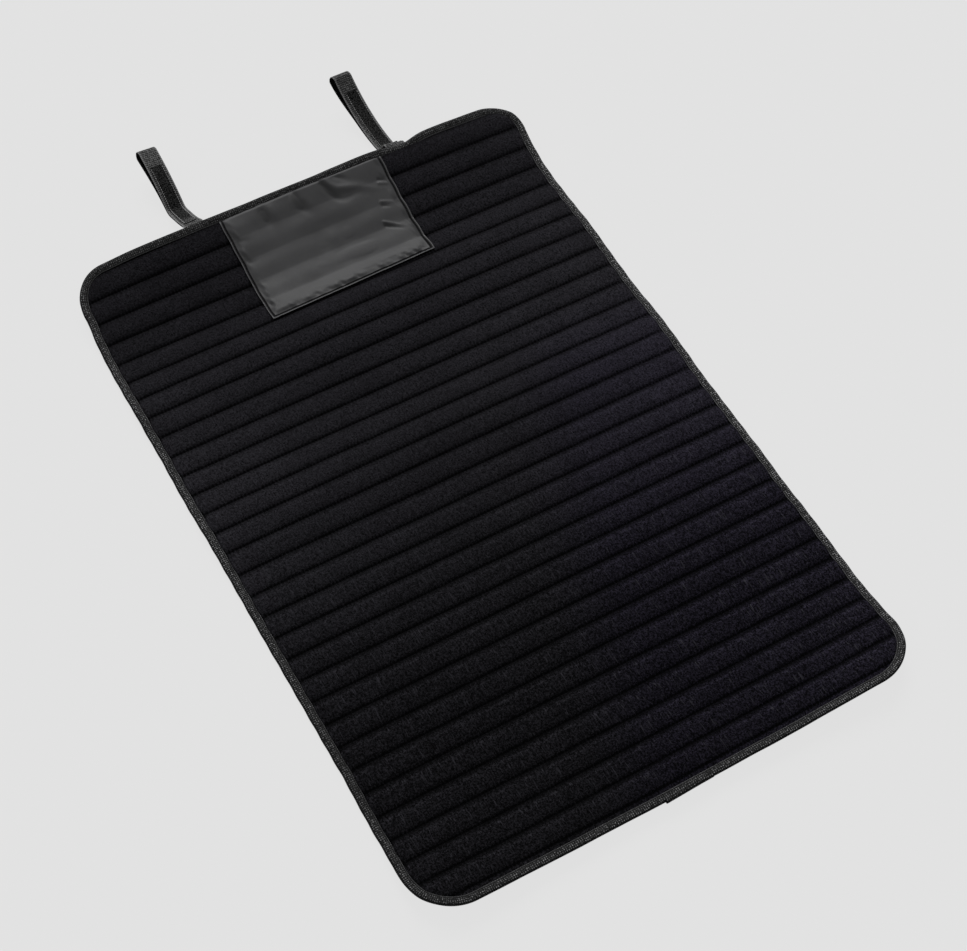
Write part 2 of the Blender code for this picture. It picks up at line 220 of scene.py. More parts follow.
# How far the strap end strays outwards: the place, half length and amount of each stray
END_STRAYS = ((-0.20, 0.06, 0.0016), (0.02, 0.10, -0.0016), (0.285, 0.024, -0.0022),
              (0.147, 0.022, -0.0056))
# How far each quilting line lies off its even place, in millimetres, from the near end
LINE_SHIFTS = (1.3, -0.1, -1.1, -1.4, -1.2, -0.9, -0.9, -0.7, -0.7, 0.2, -0.5, -0.3, -0.3, -0.1, -0.1, 0.3,
               0.9, 0.5, 0.4, 0.8, 0.7, 0.6, 0.6, 0.9, 0.7, 0.1, 0.8, 0.5, 0.6, 0.4, -0.5)
LINE_WANDER = 0.00035
# How far each long side strays at random, and how far the stitching draws it in at each line
SIDE_WANDER = {-1: 0.0003, 1: 0.0005}
SIDE_DRAW = 0.0002
# Places of the mesh's rows across the strips at the ends
STRIP_STEPS = (0, 0.06, 0.15, 0.3, 0.5, 0.75)
# The backing's height at a line and between two lines, and how it rounds there and beside the binding
BACKING_SEAM = 0.0016
BACKING_CROWN = 0.0001
BACKING_ROUNDNESS = 0.35
BACKING_EDGE = 0.007
BACKING_THICKNESS = 0.0006
BACKING_COLUMNS = 60
# Places of the mesh's rows in each band
BACKING_STEPS = (0.0, 0.1, 0.3, 0.5, 0.7, 0.9)


def fade(share):
    """A share that starts and ends gently."""
    share = np.clip(share, 0, 1)
    return share * share * (3 - 2 * share)


def drift(x, y, size_x, size_y, seed):
    """A smooth random value between -1 and 1 that changes over about that size."""
    count = 64
    lattice = np.random.default_rng(seed).uniform(-1, 1, (count, count))
    u = np.asarray(x) / size_x + count / 2
    v = np.asarray(y) / size_y + count / 2
    i = np.floor(u).astype(int)
    j = np.floor(v).astype(int)
    a = fade(u - i)
    b = fade(v - j)
    low = lattice[i % count, j % count] * (1 - a) + lattice[(i + 1) % count, j % count] * a
    high = lattice[i % count, (j + 1) % count] * (1 - a) + lattice[(i + 1) % count, (j + 1) % count] * a
    return low * (1 - b) + high * b


def lift(x, y):
    """Height of the pad's resting plane over the floor."""
    x = np.asarray(x, float)
    y = np.asarray(y, float)
    middle = side = tilt = 0.0
    for gap, (reach, power, high, sides, lean) in (
        (STRAP_EDGE_Y - y, STRAP_CURL), (y - NEAR_EDGE_Y, NEAR_CURL),
    ):
        share = np.maximum(0.0, 1.0 - gap / reach) ** power
        middle = middle + share * high
        side = side + share * sides
        tilt = tilt + share * lean
    for from_end, half, high, sides in WAVES:
        past = np.clip((STRAP_EDGE_Y - from_end - y) / half, -1, 1)
        share = np.cos(math.pi / 2 * past) ** 2
        middle = middle + share * high
        side = side + share * sides
    across = x / (PAD_WIDTH / 2)
    return middle + (side - middle) * across ** 2 + tilt * across


def line_shift(x, y):
    """How far the quilting strays along the pad from its even places."""
    lines = NEAR_SEAM_Y + SEAM_PITCH * np.arange(SEAM_COUNT + 1)
    places = np.concatenate([[NEAR_EDGE_Y], lines, [STRAP_EDGE_Y]])
    slow = np.interp(y, places, np.concatenate([[0], LINE_SHIFTS, [0]]) * MM)
    return slow + LINE_WANDER * drift(x, y, 0.06, SEAM_PITCH, 5) * (np.abs(slow) > 0)


def line_wave(y):
    """A wave along the pad: 1 at each quilting line and -1 half way between two."""
    return np.cos(2 * math.pi * (y - NEAR_SEAM_Y) / SEAM_PITCH)


def side_wander(y, side):
    """How far a long side strays outwards from straight at y."""
    belly = MM * np.interp(y, SIDE_PLACES, SIDE_STRAYS[side])
    return SIDE_WANDER[side] * drift(y, y * 0, 0.045, 1, 11 + side) - SIDE_DRAW * line_wave(y) + belly


def end_wander(x):
    """How far the strap end strays outwards from straight."""
    return sum(out * np.exp(-((x - place) / half_length) ** 2) for place, half_length, out in END_STRAYS)


def half_width(y, inset, side):
    """Distance from the middle to one long side at y, inside its rounded corners."""
    y = np.asarray(y, float)
    result = PAD_WIDTH / 2 - inset + side_wander(y, side)
    for end, edge in ((1, STRAP_EDGE_Y), (-1, NEAR_EDGE_Y)):
        radius = CORNERS[side, end]
        past = np.maximum(0, (y - edge) * end + radius)
        arc = np.maximum(0, (radius - inset) ** 2 - past ** 2)
        rounded = PAD_WIDTH / 2 - radius + np.sqrt(arc) + side_wander(y, side)
        result = np.where(past > 0, np.minimum(result, rounded), result)
    return result


def pad_rows(steps, inset):
    """Rows of a quilted layer from the near end to the strap end. steps are places in a band."""
    strip_steps = np.array(STRIP_STEPS)
    near_end = NEAR_EDGE_Y + inset
    strap_end = STRAP_EDGE_Y - inset
    rows = list(near_end + (NEAR_SEAM_Y - near_end) * strip_steps)
    rows += [NEAR_SEAM_Y + SEAM_PITCH * (k + step) for k in range(SEAM_COUNT) for step in steps]
    rows += [STRAP_SEAM_Y] + list(strap_end + (STRAP_SEAM_Y - strap_end) * strip_steps[::-1])
    return np.array(rows)


def pad_grid(steps, columns, inset=LAYER_INSET):
    """X and Y of a grid that fills the pad's outline, and Y as it was before the quilting strayed."""
    rows = pad_rows(steps, inset)
    share = np.linspace(-1, 1, columns + 1)
    left = half_width(rows, inset, -1)
    right = half_width(rows, inset, 1)
    x = np.where(share[None] < 0, share[None] * left[:, None], share[None] * right[:, None])
    even = np.repeat(rows[:, None], columns + 1, 1)
    end_bow = end_wander(x) * fade((even - STRAP_SEAM_Y) / (STRAP_EDGE_Y - STRAP_SEAM_Y))
    return x, even + line_shift(x, even) + end_bow, even


def crown(y, roundness):
    """Fullness of the quilting at y: 0 at a seam and 1 in the middle of a band."""
    place = (y - NEAR_SEAM_Y) / SEAM_PITCH
    share = place - np.floor(place)
    full = np.maximum(0, 1 - (2 * share - 1) ** 2) ** roundness
    return np.where((y > NEAR_SEAM_Y) & (y < STRAP_SEAM_Y), full, 0.0)


def inside(x, y, depth, reach):
    """Share of fullness beside the binding: 0 at its inner edge, 1 at a distance of reach inside it."""
    left = x + half_width(y, depth, -1)
    right = half_width(y, depth, 1) - x
    share = np.clip(np.minimum(left, right) / reach, 0, 1)
    return np.sqrt(1 - (1 - share) ** 2)


def mesh_piece(name, points, faces, finish):
    """Makes a smooth mesh that rides with the pad."""
    mesh = bpy.data.meshes.new(name)
    mesh.from_pydata(points.tolist(), [], faces.tolist() if hasattr(faces, "tolist") else faces)
    mesh.validate()
    mesh.shade_smooth()
    mesh.materials.append(finish)
    piece = bpy.data.objects.new(name, mesh)
    scene.collection.objects.link(piece)
    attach(piece, "root")
    return piece


def grid_faces(rows, columns):
    """Faces of a grid of points, row by row."""
    first = np.arange((rows - 1) * columns).reshape(rows - 1, columns)[:, :-1].ravel()
    return np.stack([first, first + 1, first + 1 + columns, first + columns], 1)


def thin_piece(name, x, y, top, bottom, finish):
    """Closes an upper and a lower surface over the same grid into one thin piece."""
    high, low = (np.stack([x, y, z], -1) for z in (top, bottom))
    rows, columns = x.shape
    top = grid_faces(rows, columns)
    below = rows * columns
    under = top[:, ::-1] + below
    border = list(range(columns - 1)) + [i * columns + columns - 1 for i in range(rows - 1)]
    border += [(rows - 1) * columns + j for j in range(columns - 1, 0, -1)]
    border += [i * columns for i in range(rows - 1, 0, -1)]
    a = np.array(border)
    b = np.roll(a, -1)
    rim = np.stack([a, a + below, b + below, b], 1)
    points = np.concatenate([high.reshape(-1, 3), low.reshape(-1, 3)])
    return mesh_piece(name, points, np.concatenate([top, under, rim]), finish)


def tone(red, green, blue):
    """A colour given as it looks on screen, from 0 to 255 a channel."""
    parts = [c / 255 for c in (red, green, blue)]
    return (*[c / 12.92 if c <= 0.04045 else ((c + 0.055) / 1.055) ** 2.4 for c in parts], 1)


def dress(paint, colour, roughness, height, depth, strength, **fixed):
    """Ends a finish in its shader. colour and roughness may vary, height feeds its bump, which is
    that deep and that strong, and fixed are the shader's other inputs."""
    bump = paint.node("ShaderNodeBump", {}, {"Height": height, "Distance": depth, "Strength": strength})
    inputs = {"Base Color": colour, "Roughness": roughness, "Normal": bump}
    inputs.update({key.replace("_", " "): value for key, value in fixed.items()})
    shader = paint.node("ShaderNodeBsdfPrincipled", {}, inputs)
    paint.node("ShaderNodeOutputMaterial", {}, {"Surface": shader})


def place_of(paint, scale=(1, 1, 1)):
    """The surface's place on the object, stretched by scale."""
    place = paint.node("ShaderNodeTexCoord", {}, {}, "Object")
    return paint.node("ShaderNodeVectorMath", {"operation": "MULTIPLY"}, {0: place, 1: scale})


def coordinate(paint, axis):
    """The surface's place along one axis of the object."""
    return paint.node("ShaderNodeSeparateXYZ", {}, {0: place_of(paint)}, axis)


def noise(paint, scale, detail, roughness=0.5):
    """Random grain, that many grains a metre, or as many as scale says along each axis."""
    scale = scale if isinstance(scale, tuple) else (scale,) * 3
    inputs = {"Vector": place_of(paint, scale), "Scale": 1.0, "Detail": detail, "Roughness": roughness}
    return paint.node("ShaderNodeTexNoise", {}, inputs, "Fac")


def threads(paint, count):
    """A plain weave: two sets of threads, that many a metre, over and under each other."""
    x, y = (coordinate(paint, axis).wave(1 / count) - 0.5 for axis in "XY")
    return x * y * 2 + 0.5


backing_finish, paint = material_tree("backing_cloth")
weave = threads(paint, 900)
soil = noise(paint, 9, 3)
back_colour = soil.between(0.3, 0.8).mix(tone(38, 38, 42), tone(52, 52, 56))
dress(paint, back_colour, 0.55 + 0.2 * soil, weave, 0.0002, 0.5, Specular_IOR_Level=0.4)

x, y, even = pad_grid(BACKING_STEPS, BACKING_COLUMNS)
full = crown(even, BACKING_ROUNDNESS) * inside(x, y, BINDING_WIDTH, BACKING_EDGE)
underside = lift(x, y) + BACKING_SEAM + (BACKING_CROWN - BACKING_SEAM) * full
backing = thin_piece("backing", x, y, underside + BACKING_THICKNESS, underside, backing_finish)
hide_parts("backing_sheet")

# ---------------------------------------------------------------------------
# Foam: a 6 mm sheet of soft grey foam between the two cloths, squeezed flat along each quilting
# line, which is what makes the bands stand up as rounded ridges.

FOAM_SEAM_LOW = 0.0025
FOAM_CROWN_LOW = 0.0010
FOAM_SEAM_HIGH = 0.0029
FOAM_CROWN_HIGH = 0.0057
FOAM_ROUNDNESS = 0.55
FOAM_EDGE = 0.010
FOAM_INSET = 0.002
FOAM_STEPS = (0.0, 0.08, 0.25, 0.5, 0.75, 0.92)
# Where the front patch's stitches go through the foam
PATCH_LEFT = -0.1015
PATCH_RIGHT = 0.1165
PATCH_WIDTH = PATCH_RIGHT - PATCH_LEFT
PATCH_LENGTH = 0.1433
HEM_STITCH = 0.0031
# How much of the padding those stitches draw down, and how far from them outside and inside the patch
HEM_PULL = 0.8
HEM_PULL_OUTSIDE = 0.0035
HEM_PULL_INSIDE = 0.0075


def hem_press(x, y):
    """Share of its fullness that the padding keeps beside the patch's stitches, which draw it down."""
    left = PATCH_LEFT + HEM_STITCH - x
    right = x - (PATCH_RIGHT - HEM_STITCH)
    low = STRAP_SEAM_Y - PATCH_LENGTH + HEM_STITCH - y
    past = np.maximum(np.maximum(left, right), low)
    reach = np.where(past > 0, HEM_PULL_OUTSIDE, HEM_PULL_INSIDE)
    return 1 - HEM_PULL * np.exp(-(past / reach) ** 2)


foam_finish, paint = material_tree("grey_foam")
cells = noise(paint, 1500, 2)
foam_colour = cells.between(0.35, 0.65).mix(tone(92, 92, 94), tone(128, 128, 130))
dress(paint, foam_colour, 0.95, cells, 0.0004, 0.8, Specular_IOR_Level=0.2)

x, y, even = pad_grid(FOAM_STEPS, BACKING_COLUMNS, LAYER_INSET + FOAM_INSET)
full = crown(even, FOAM_ROUNDNESS) * inside(x, y, BINDING_WIDTH + FOAM_INSET, FOAM_EDGE) * hem_press(x, y)
rest = lift(x, y)
below = (FOAM_CROWN_LOW - FOAM_SEAM_LOW) * crown(even, BACKING_ROUNDNESS) * (full > 0)
above = (FOAM_CROWN_HIGH - FOAM_SEAM_HIGH) * full
foam = thin_piece("foam", x, y, rest + FOAM_SEAM_HIGH + above, rest + FOAM_SEAM_LOW + below,
                  foam_finish)
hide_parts("foam_padding")

# ---------------------------------------------------------------------------
# Face cloth: brushed black polyester over the foam, quilted in straight lines from side to side.
# Its short nap lies along the pad and catches the light in fine streaks.

FACE_SEAM = 0.0036
FACE_CROWN = 0.0074
FACE_THICKNESS = 0.0007
FACE_COLUMNS = 130
FACE_STEPS = (0.0, 0.035, 0.09, 0.18, 0.33, 0.5, 0.65, 0.72, 0.78, 0.85, 0.92, 0.965)
FACE_ROUNDNESS = 0.5
FACE_EDGE = 0.009
FACE_TUCK = 0.0006
# The small puckers beside a line: their height, and how far they reach as a share of a band
PUCKER = 0.00022
PUCKER_REACH = 0.16
# Length along a line from one dip of the cloth at a stitch to the next
VALLEY_BEAT = 0.0043
# The strip past the last quilting line at the near end is a low ridge of its own
NEAR_RIDGE_WIDTH = 0.0053
NEAR_RIDGE_HEIGHT = 0.0016


def face_height(x, y, even=None):
    """Height of the face cloth over the floor, its fullness and its place between two quilting lines."""
    rest = lift(x, y)
    y = y - line_shift(x, y) if even is None else even
    full = crown(y, FACE_ROUNDNESS) * inside(x, y, BINDING_WIDTH - FACE_TUCK, FACE_EDGE) * hem_press(x, y)
    plump = 1 + 0.07 * drift(x, y, 0.07, SEAM_PITCH, 3) + 0.04 * drift(x, y, 0.025, 0.012, 4)
    place = (y - NEAR_SEAM_Y) / SEAM_PITCH
    share = place - np.floor(place)
    beside = np.exp(-(np.minimum(share, 1 - share) / PUCKER_REACH) ** 2) * np.minimum(1, full * 3)
    side = np.where(share < 0.5, 0, 40) + np.floor(place) * 2
    gather = drift(x + 0.37 * side, side, 0.0065, 1, 6) + 0.6 * drift(x - 0.29 * side, side, 0.011, 1, 7)
    strip = np.clip((NEAR_SEAM_Y - y) / NEAR_RIDGE_WIDTH, 0, 1)
    ridge = np.sqrt(np.maximum(0, 1 - (2 * strip - 1) ** 2))
    height = FACE_SEAM + (FACE_CROWN - FACE_SEAM) * full * plump + PUCKER * gather * beside
    height = height + NEAR_RIDGE_HEIGHT * ridge
    open_strip = np.where(strip < 0.5, ridge, 1) * (strip > 0)
    return rest + height, np.maximum(full, 0.95 * open_strip), np.where(strip > 0, 0.5, share)


# Painted light and shade on the face cloth along the pad, at its left, middle and right: it is painted
# darker towards the near end, standing in for the light falling off there
PAINTED_SHADE_PLACES = (-0.34, -0.19, -0.044, 0.10, 0.25, 0.39)
PAINTED_SHADES = ((0.415, 0.42, 0.57, 0.80, 0.82, 0.65), (0.42, 0.44, 0.57, 0.67, 0.76, 0.70),
              (0.56, 0.55, 0.76, 1.02, 0.90, 0.80))


def painted_cloth_shade(x, y, share):
    """Painted shade on the face cloth at a place: a painted falloff along the pad, painted darker on both
    sides of a quilting line where the cloth turns down into it, and a painted highlight on the brow of each
    band that faces the light.
    """
    left, middle, right = (np.interp(y, PAINTED_SHADE_PLACES, shades) for shades in PAINTED_SHADES)
    across = x / 0.21
    painted_falloff = middle + (right - left) / 2 * across + ((right + left) / 2 - middle) * across ** 2
    far = fade((0.25 - y) / 0.55)
    strap_side = 1 - fade((1 - share) / 0.27)
    near_side = 1 - fade(share / 0.28)
    brow_highlight = np.exp(-((0.725 - share) / 0.058) ** 2)
    strap_side_shade = 1 - (0.46 + 0.24 * far + 0.10 * fade(x / 0.2)) * strap_side
    return painted_falloff * strap_side_shade * (1 - (0.40 - 0.15 * far) * near_side) * (1 + (0.04 + 0.55 * far) * brow_highlight)


def line_light(x, y):
    """How much the painted shade in the quilting lines is lessened at a place: more towards the strap end
    and on the right.
    """
    return (0.16 + 0.16 * fade(x / 0.25)) * fade((y + 0.16) / 0.26) + 0.10 * fade(x / 0.25)


def note(piece, name, values):
    """Keeps one number a point on a piece, for its material to read."""
    field = piece.data.attributes.new(name, "FLOAT", "POINT")
    field.data.foreach_set("value", np.asarray(values, np.float32).ravel())


def noted(paint, name):
    """The number that note() keeps under that name."""
    return paint.node("ShaderNodeAttribute", {"attribute_name": name}, {}, "Fac")


face_finish, paint = material_tree("brushed_black_cloth")
fullness_and_line_light = noted(paint, "fullness_and_line_light")
painted_shade = noted(paint, "painted_shade")
nap = noise(paint, (700, 170, 700), 3, 0.6)
fine_nap = noise(paint, (1500, 500, 1500), 2, 0.5)
specks = noise(paint, 500, 3, 0.7)
patchy = noise(paint, 22, 3, 0.55)
ragged = noise(paint, (70, 240, 70), 3, 0.7) - 0.5
streaks = noise(paint, (620, 60, 620), 1, 0.4).between(0.62, 0.76)
pile = (nap.between(0.3, 0.72) * 0.30 + fine_nap.between(0.40, 0.62) * 0.20
        + specks.between(0.38, 0.64) * 0.50)
face_x = coordinate(paint, "X")
face_y = coordinate(paint, "Y")
# Each stitch pulls the cloth down between two small rises
pulled = face_x.wave(VALLEY_BEAT) - 0.5
# Painted shade: the quilting lines and the cloth just beside them are painted almost black
valley_shade = 1 - (fullness_and_line_light + ragged * 0.45 + pulled * 0.34).between(0.10, 0.66)
# The dye is a little bluer in the middle and on the right, and the nap is rougher at the near end
bluish = (face_x - face_y * 0.35 - 0.098).between(-0.07, 0.05) * face_y.between(0.22, 0.08)
bluish = bluish * (0.70 + 0.30 * face_y.between(0.02, -0.15))
rough_nap = face_y.between(0.10, -0.30)
worn = pile ** (0.9 + 0.9 * rough_nap) * (0.70 + 0.55 * patchy) * (1 + 0.5 * rough_nap)
face_colour = worn.mix(tone(0, 0, 0), bluish.mix(tone(48, 47, 51.5), tone(48.5, 45.5, 57.5)))
face_colour = (streaks * (0.2 + 0.5 * rough_nap) * fullness_and_line_light).mix(face_colour, tone(66, 65, 71))
# Painted shade: the colour is darkened by the painted light and shade that each point keeps
face_colour = painted_shade.mix(tone(0, 0, 0), face_colour)
# Painted shade in the quilting lines
face_colour = (valley_shade * 0.9).mix(face_colour, tone(1, 1, 1.5))
dress(paint, face_colour, 0.95, pile, 0.0008, 0.6,
      Specular_IOR_Level=0.03, Sheen_Weight=0.004, Sheen_Roughness=0.5)

x, y, even = pad_grid(FACE_STEPS, FACE_COLUMNS)
top, full, share = face_height(x, y, even)
face = thin_piece("quilted_face", x, y, top, top - FACE_THICKNESS, face_finish)
# The fullness kept for the material also holds line_light, which lessens the painted shade in the quilting
# lines
note(face, "fullness_and_line_light", np.tile(np.maximum(full, line_light(x, y)).ravel(), 2))
# Keeps each point's painted light and shade for the material
note(face, "painted_shade", np.tile(painted_cloth_shade(x, y, share).ravel(), 2))
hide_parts("face_cloth")

# ---------------------------------------------------------------------------
# Quilting thread: black lockstitch through all three layers, one row to each quilting line. Each
# stitch is pulled down into the cloth at both of its ends.

STITCH_LENGTH = 0.0036
STITCH_GAP = 0.0007
THREAD_WIDTH = 0.00055
THREAD_PROUD = 0.0001
LINE_MARGIN = BINDING_WIDTH + 0.001
# The sections of one stitch: place along it, rise in thread widths and thickness
STITCH_SECTIONS = ((-0.5, -0.55, 0.55), (0, 0.35, 1.0), (0.5, -0.55, 0.55))


def unit(vectors):
    """The same directions, each one long."""
    return vectors / np.linalg.norm(vectors, axis=-1, keepdims=True)


def stitch_piece(name, centres, along, up, length, width, finish, slot):
    """Many short stitches as one piece: each an arched thread of three square sections."""
    across = unit(np.cross(along, up))
    rings = []
    for place, rise, size in STITCH_SECTIONS:
        middle = centres + along * (place * length) + up * (rise * width)
        for a, b in ((-1, 0), (0, -1), (1, 0), (0, 1)):
            rings.append(middle + across * (a * size * width / 2) + up * (b * size * width / 2))
    points = np.stack(rings, 1).reshape(-1, 3)
    one = [(3, 2, 1, 0), (8, 9, 10, 11)]
    for ring in (0, 4):
        one += [(ring + k, ring + (k + 1) % 4, ring + (k + 1) % 4 + 4, ring + k + 4) for k in range(4)]
    faces = (np.array(one)[None] + 12 * np.arange(len(centres))[:, None, None]).reshape(-1, 4)
    return mesh_piece(name, points, faces, finish)


def thread_finish(name, dark, light, gloss=0.3):
    """Twisted thread: fine ridges that run round it."""
    finish, paint = material_tree(name)
    grain = noise(paint, 2600, 2)
    colour = grain.between(0.3, 0.7).mix(dark, light)
    dress(paint, colour, 0.6, grain, 0.0002, 0.6, Specular_IOR_Level=gloss)
    return finish


quilting_thread = thread_finish("black_thread", tone(3, 3, 4), tone(10, 10, 11), 0.04)
centres = []
for k in range(SEAM_COUNT + 1):
    line_y = NEAR_SEAM_Y + SEAM_PITCH * k
    reach_left = half_width(line_y, LINE_MARGIN, -1)
    reach_right = half_width(line_y, LINE_MARGIN, 1)
    count = int((reach_left + reach_right) / STITCH_LENGTH)
    xs = -reach_left + (reach_left + reach_right) * (np.arange(count) + 0.5) / count
    centres.append(np.stack([xs, np.full(count, line_y), np.zeros(count)], 1))
centres = np.concatenate(centres)
centres[:, 1] += line_shift(centres[:, 0], centres[:, 1])
along = np.array((1.0, 0.0, 0.0))
thread = (STITCH_LENGTH - STITCH_GAP, THREAD_WIDTH, quilting_thread)
over = centres.copy()
over[:, 2] = lift(centres[:, 0], centres[:, 1]) + FACE_SEAM + THREAD_PROUD
stitch_piece("quilting_stitches", over, along, UP, *thread, "face_cloth")
under = centres.copy()
under[:, 2] = lift(centres[:, 0], centres[:, 1]) + BACKING_SEAM - THREAD_PROUD
stitch_piece("quilting_stitches_below", under, along, -UP, *thread, "backing")

# ---------------------------------------------------------------------------
# Front patch: smooth coated nylon, its sides and lower edge turned under and sewn down over the
# quilting, its upper edge caught in the binding. It is left bare.

PATCH_TOP_Y = STRAP_SEAM_Y + 0.003
PATCH_THICKNESS = 0.0005
PATCH_GAP = 0.0003
PATCH_COLUMNS = 180
PATCH_ROWS = 116
# Slow waves of its cloth: their height, sizes across and along the pad and seed
PATCH_WAVES = ((0.0007, 0.04, 0.022, 31), (0.0004, 0.016, 0.024, 32))
# How much of its height over the face cloth the patch keeps where it is sewn down
SEWN_SHARE = 0.55
# The hem, as distances from its edge: where its fold ends, where the sewn cloth ends and how far
# past that the cloth comes free
HEM_FOLD = 0.0022
HEM_SEWN = 0.0034
HEM_FREE = 0.008
HEM_RISE = 0.0004
HEM_GATHER = 0.0013
# The groove that the hem's stitches draw: its depth and half width
GROOVE_DEPTH = 0.0006
GROOVE_WIDTH = 0.0007
HEM_STITCH_PITCH = 0.0042
HEM_STITCH_LENGTH = 0.0031
HEM_THREAD_WIDTH = 0.0010
HEM_THREAD_PROUD = 0.0003
# Distances from the hem's edge where its mesh is closer, in millimetres
HEM_STEPS = (0, 0.4, 0.8, 1.2, 1.6, 2.0, 2.5, 3.0, 3.4, 3.8, 4.2, 4.6, 5.0, 5.6, 6.4, 7.4, 8.6)
PATCH_SKEW = 0.004
# Soft folds in the patch: the places along each in millimetres, its half width and its height
FOLDS = (
    (((34, 480), (45, 462), (58, 459), (75, 454), (90, 445), (108, 440)), 5.0, 2.3),
    (((30, 481), (37, 463), (43, 450), (53, 447), (67, 449), (80, 447)), 4.0, -1.7),
    (((2, 480), (3, 466), (10, 455), (20, 449)), 6.0, 1.5),
    (((-7, 481), (-6, 465), (-1, 453), (9, 444)), 4.5, -1.8),
    (((-40, 470), (-38, 448)), 7.0, 1.1),
    (((-49, 469), (-46, 447)), 5.5, -1.6),
    (((51, 477), (69, 465)), 3.5, -1.2),
    (((98, 449), (114, 444)), 2.0, 0.9),
    (((100, 454), (113, 448)), 1.9, -1.0),
    (((89, 427), (109, 419)), 1.9, 0.9),
    (((89, 422), (100, 416)), 2.0, -0.8),
    (((80, 402), (105, 385)), 1.9, 1.0),
    (((80, 397), (102, 382)), 2.0, -1.0),
    (((-104, 452), (-88, 448), (-70, 443)), 3.5, -0.6),
    (((-104, 424), (-92, 421), (-78, 418)), 3.0, -0.7),
    (((-104, 394), (-94, 391), (-82, 388)), 3.0, -0.8),
    (((-104, 362), (-94, 360), (-84, 357)), 3.0, -0.8),
)


def patch_edge(side, y):
    """X of one side of the patch at y: the stitching draws it in at each quilting line."""
    edge = PATCH_LEFT if side < 0 else PATCH_RIGHT
    return edge - side * 0.0003 * line_wave(y) + 0.0005 * drift(y, y * 0, 0.03, 1, 21 + side)


def patch_bottom(x):
    """Y of the patch's lower edge at x, a little lower at its left end."""
    share = (x - PATCH_LEFT) / PATCH_WIDTH
    return STRAP_SEAM_Y - PATCH_LENGTH - PATCH_SKEW * (0.5 - share) + 0.0004 * drift(x, x * 0, 0.02, 1, 25)


def fold_height(x, y, points, width, rise):
    """Height of one soft fold at a place: highest along its line, and it runs out at its far end."""
    points = np.array(points) * MM
    for _ in range(2):
        cut = np.stack([points[:-1] * 0.75 + points[1:] * 0.25, points[:-1] * 0.25 + points[1:] * 0.75], 1)
        points = np.concatenate([points[:1], cut.reshape(-1, 2), points[-1:]])
    runs = np.linalg.norm(np.diff(points, axis=0), axis=1)
    nearest = np.full(np.shape(x), 1.0)
    share = np.zeros(np.shape(x))
    for (x0, y0), (x1, y1), run, gone in zip(points[:-1], points[1:], runs, np.cumsum(runs) - runs):
        t = np.clip(((x - x0) * (x1 - x0) + (y - y0) * (y1 - y0)) / run ** 2, 0, 1)
        off = np.hypot(x - x0 - t * (x1 - x0), y - y0 - t * (y1 - y0))
        share = np.where(off < nearest, (gone + t * run) / runs.sum(), share)
        nearest = np.minimum(nearest, off)
    return MM * rise * np.exp(-(nearest / (MM * width)) ** 2) * fade((1 - share) / 0.85 + 0.05)


def patch_surface(across, down):
    """The patch's upper surface at a share across and down it, and its distance from the hem's edge."""
    middle_x = PATCH_LEFT + PATCH_WIDTH * across
    y = PATCH_TOP_Y + (patch_bottom(middle_x) - PATCH_TOP_Y) * down
    left = patch_edge(-1, y)
    x = left + (patch_edge(1, y) - left) * across
    rim = np.minimum(np.minimum(x - left, patch_edge(1, y) - x), y - patch_bottom(middle_x))
    ground, _, _ = face_height(x, y)
    even = y - line_shift(x, y)
    arch = 0.5 - 0.5 * line_wave(even)
    puffed = 0.93 + 0.10 * crown(even, 0.9) + 0.10 * arch
    bridged = lift(x, y) + FACE_SEAM + (FACE_CROWN - FACE_SEAM) * puffed
    for high, *sizes in PATCH_WAVES:
        bridged = bridged + high * drift(x, y, *sizes)
    free = fade((rim - HEM_SEWN) / HEM_FREE)
    sewn = ground + SEWN_SHARE * (np.maximum(bridged, ground) - ground)
    height = sewn + (np.maximum(bridged, ground + 0.0001) - sewn) * free
    for fold in FOLDS:
        height = height + fold_height(x, y, *fold) * free
    height = np.maximum(height, ground + 0.0002)
    near_hem = np.exp(-((rim - HEM_FREE) / 0.0040) ** 2)
    pull = HEM_GATHER * drift(x + 0.4 * y, y, 0.0055, 0.012, 33) * near_hem
    hem = HEM_RISE * fade((HEM_FOLD - rim) / 0.0012)
    groove = GROOVE_DEPTH * np.exp(-((rim - HEM_STITCH) / GROOVE_WIDTH) ** 2)
    height = height + PATCH_THICKNESS + PATCH_GAP + pull + hem - groove
    tuck = fade((y - (STRAP_EDGE_Y - BINDING_WIDTH - 0.005)) / 0.0045)
    return x, y, height + (ground + PATCH_THICKNESS + PATCH_GAP - height) * tuck, rim


patch_finish, paint = material_tree("patch_nylon")
rim_place = noted(paint, "rim")
hollow = noted(paint, "hollow")
fold_edge_highlight = rim_place.close_to(0.0, 0.0005, 0.0010)
stitch_line = rim_place.close_to(HEM_STITCH, 0.0009, 0.0018)
patch_y = coordinate(paint, "Y")
ripstop = threads(paint, 1400)
cloudy = noise(paint, 16, 3, 0.5)
creases = noise(paint, (90, 60, 90), 3, 0.6)
patch_colour = cloudy.between(0.25, 0.75).mix(tone(43, 43, 44), tone(52, 52, 53))
# Painted light: the patch is painted lighter towards its top, and painted shade darkens it near its lower
# edge, standing in for how the light falls on it
patch_colour = (patch_y.between(0.40, 0.45) * 0.35).mix(patch_colour, tone(60, 60, 61))
patch_colour = (patch_y.between(0.372, 0.352) * 0.25).mix(patch_colour, tone(20, 20, 21))
patch_colour = (hollow * 0.45).mix(patch_colour, tone(10, 10, 11))
# Painted highlight along the hem's folded edge
patch_colour = (fold_edge_highlight * (0.35 + 0.5 * creases)).mix(patch_colour, tone(88, 88, 89))
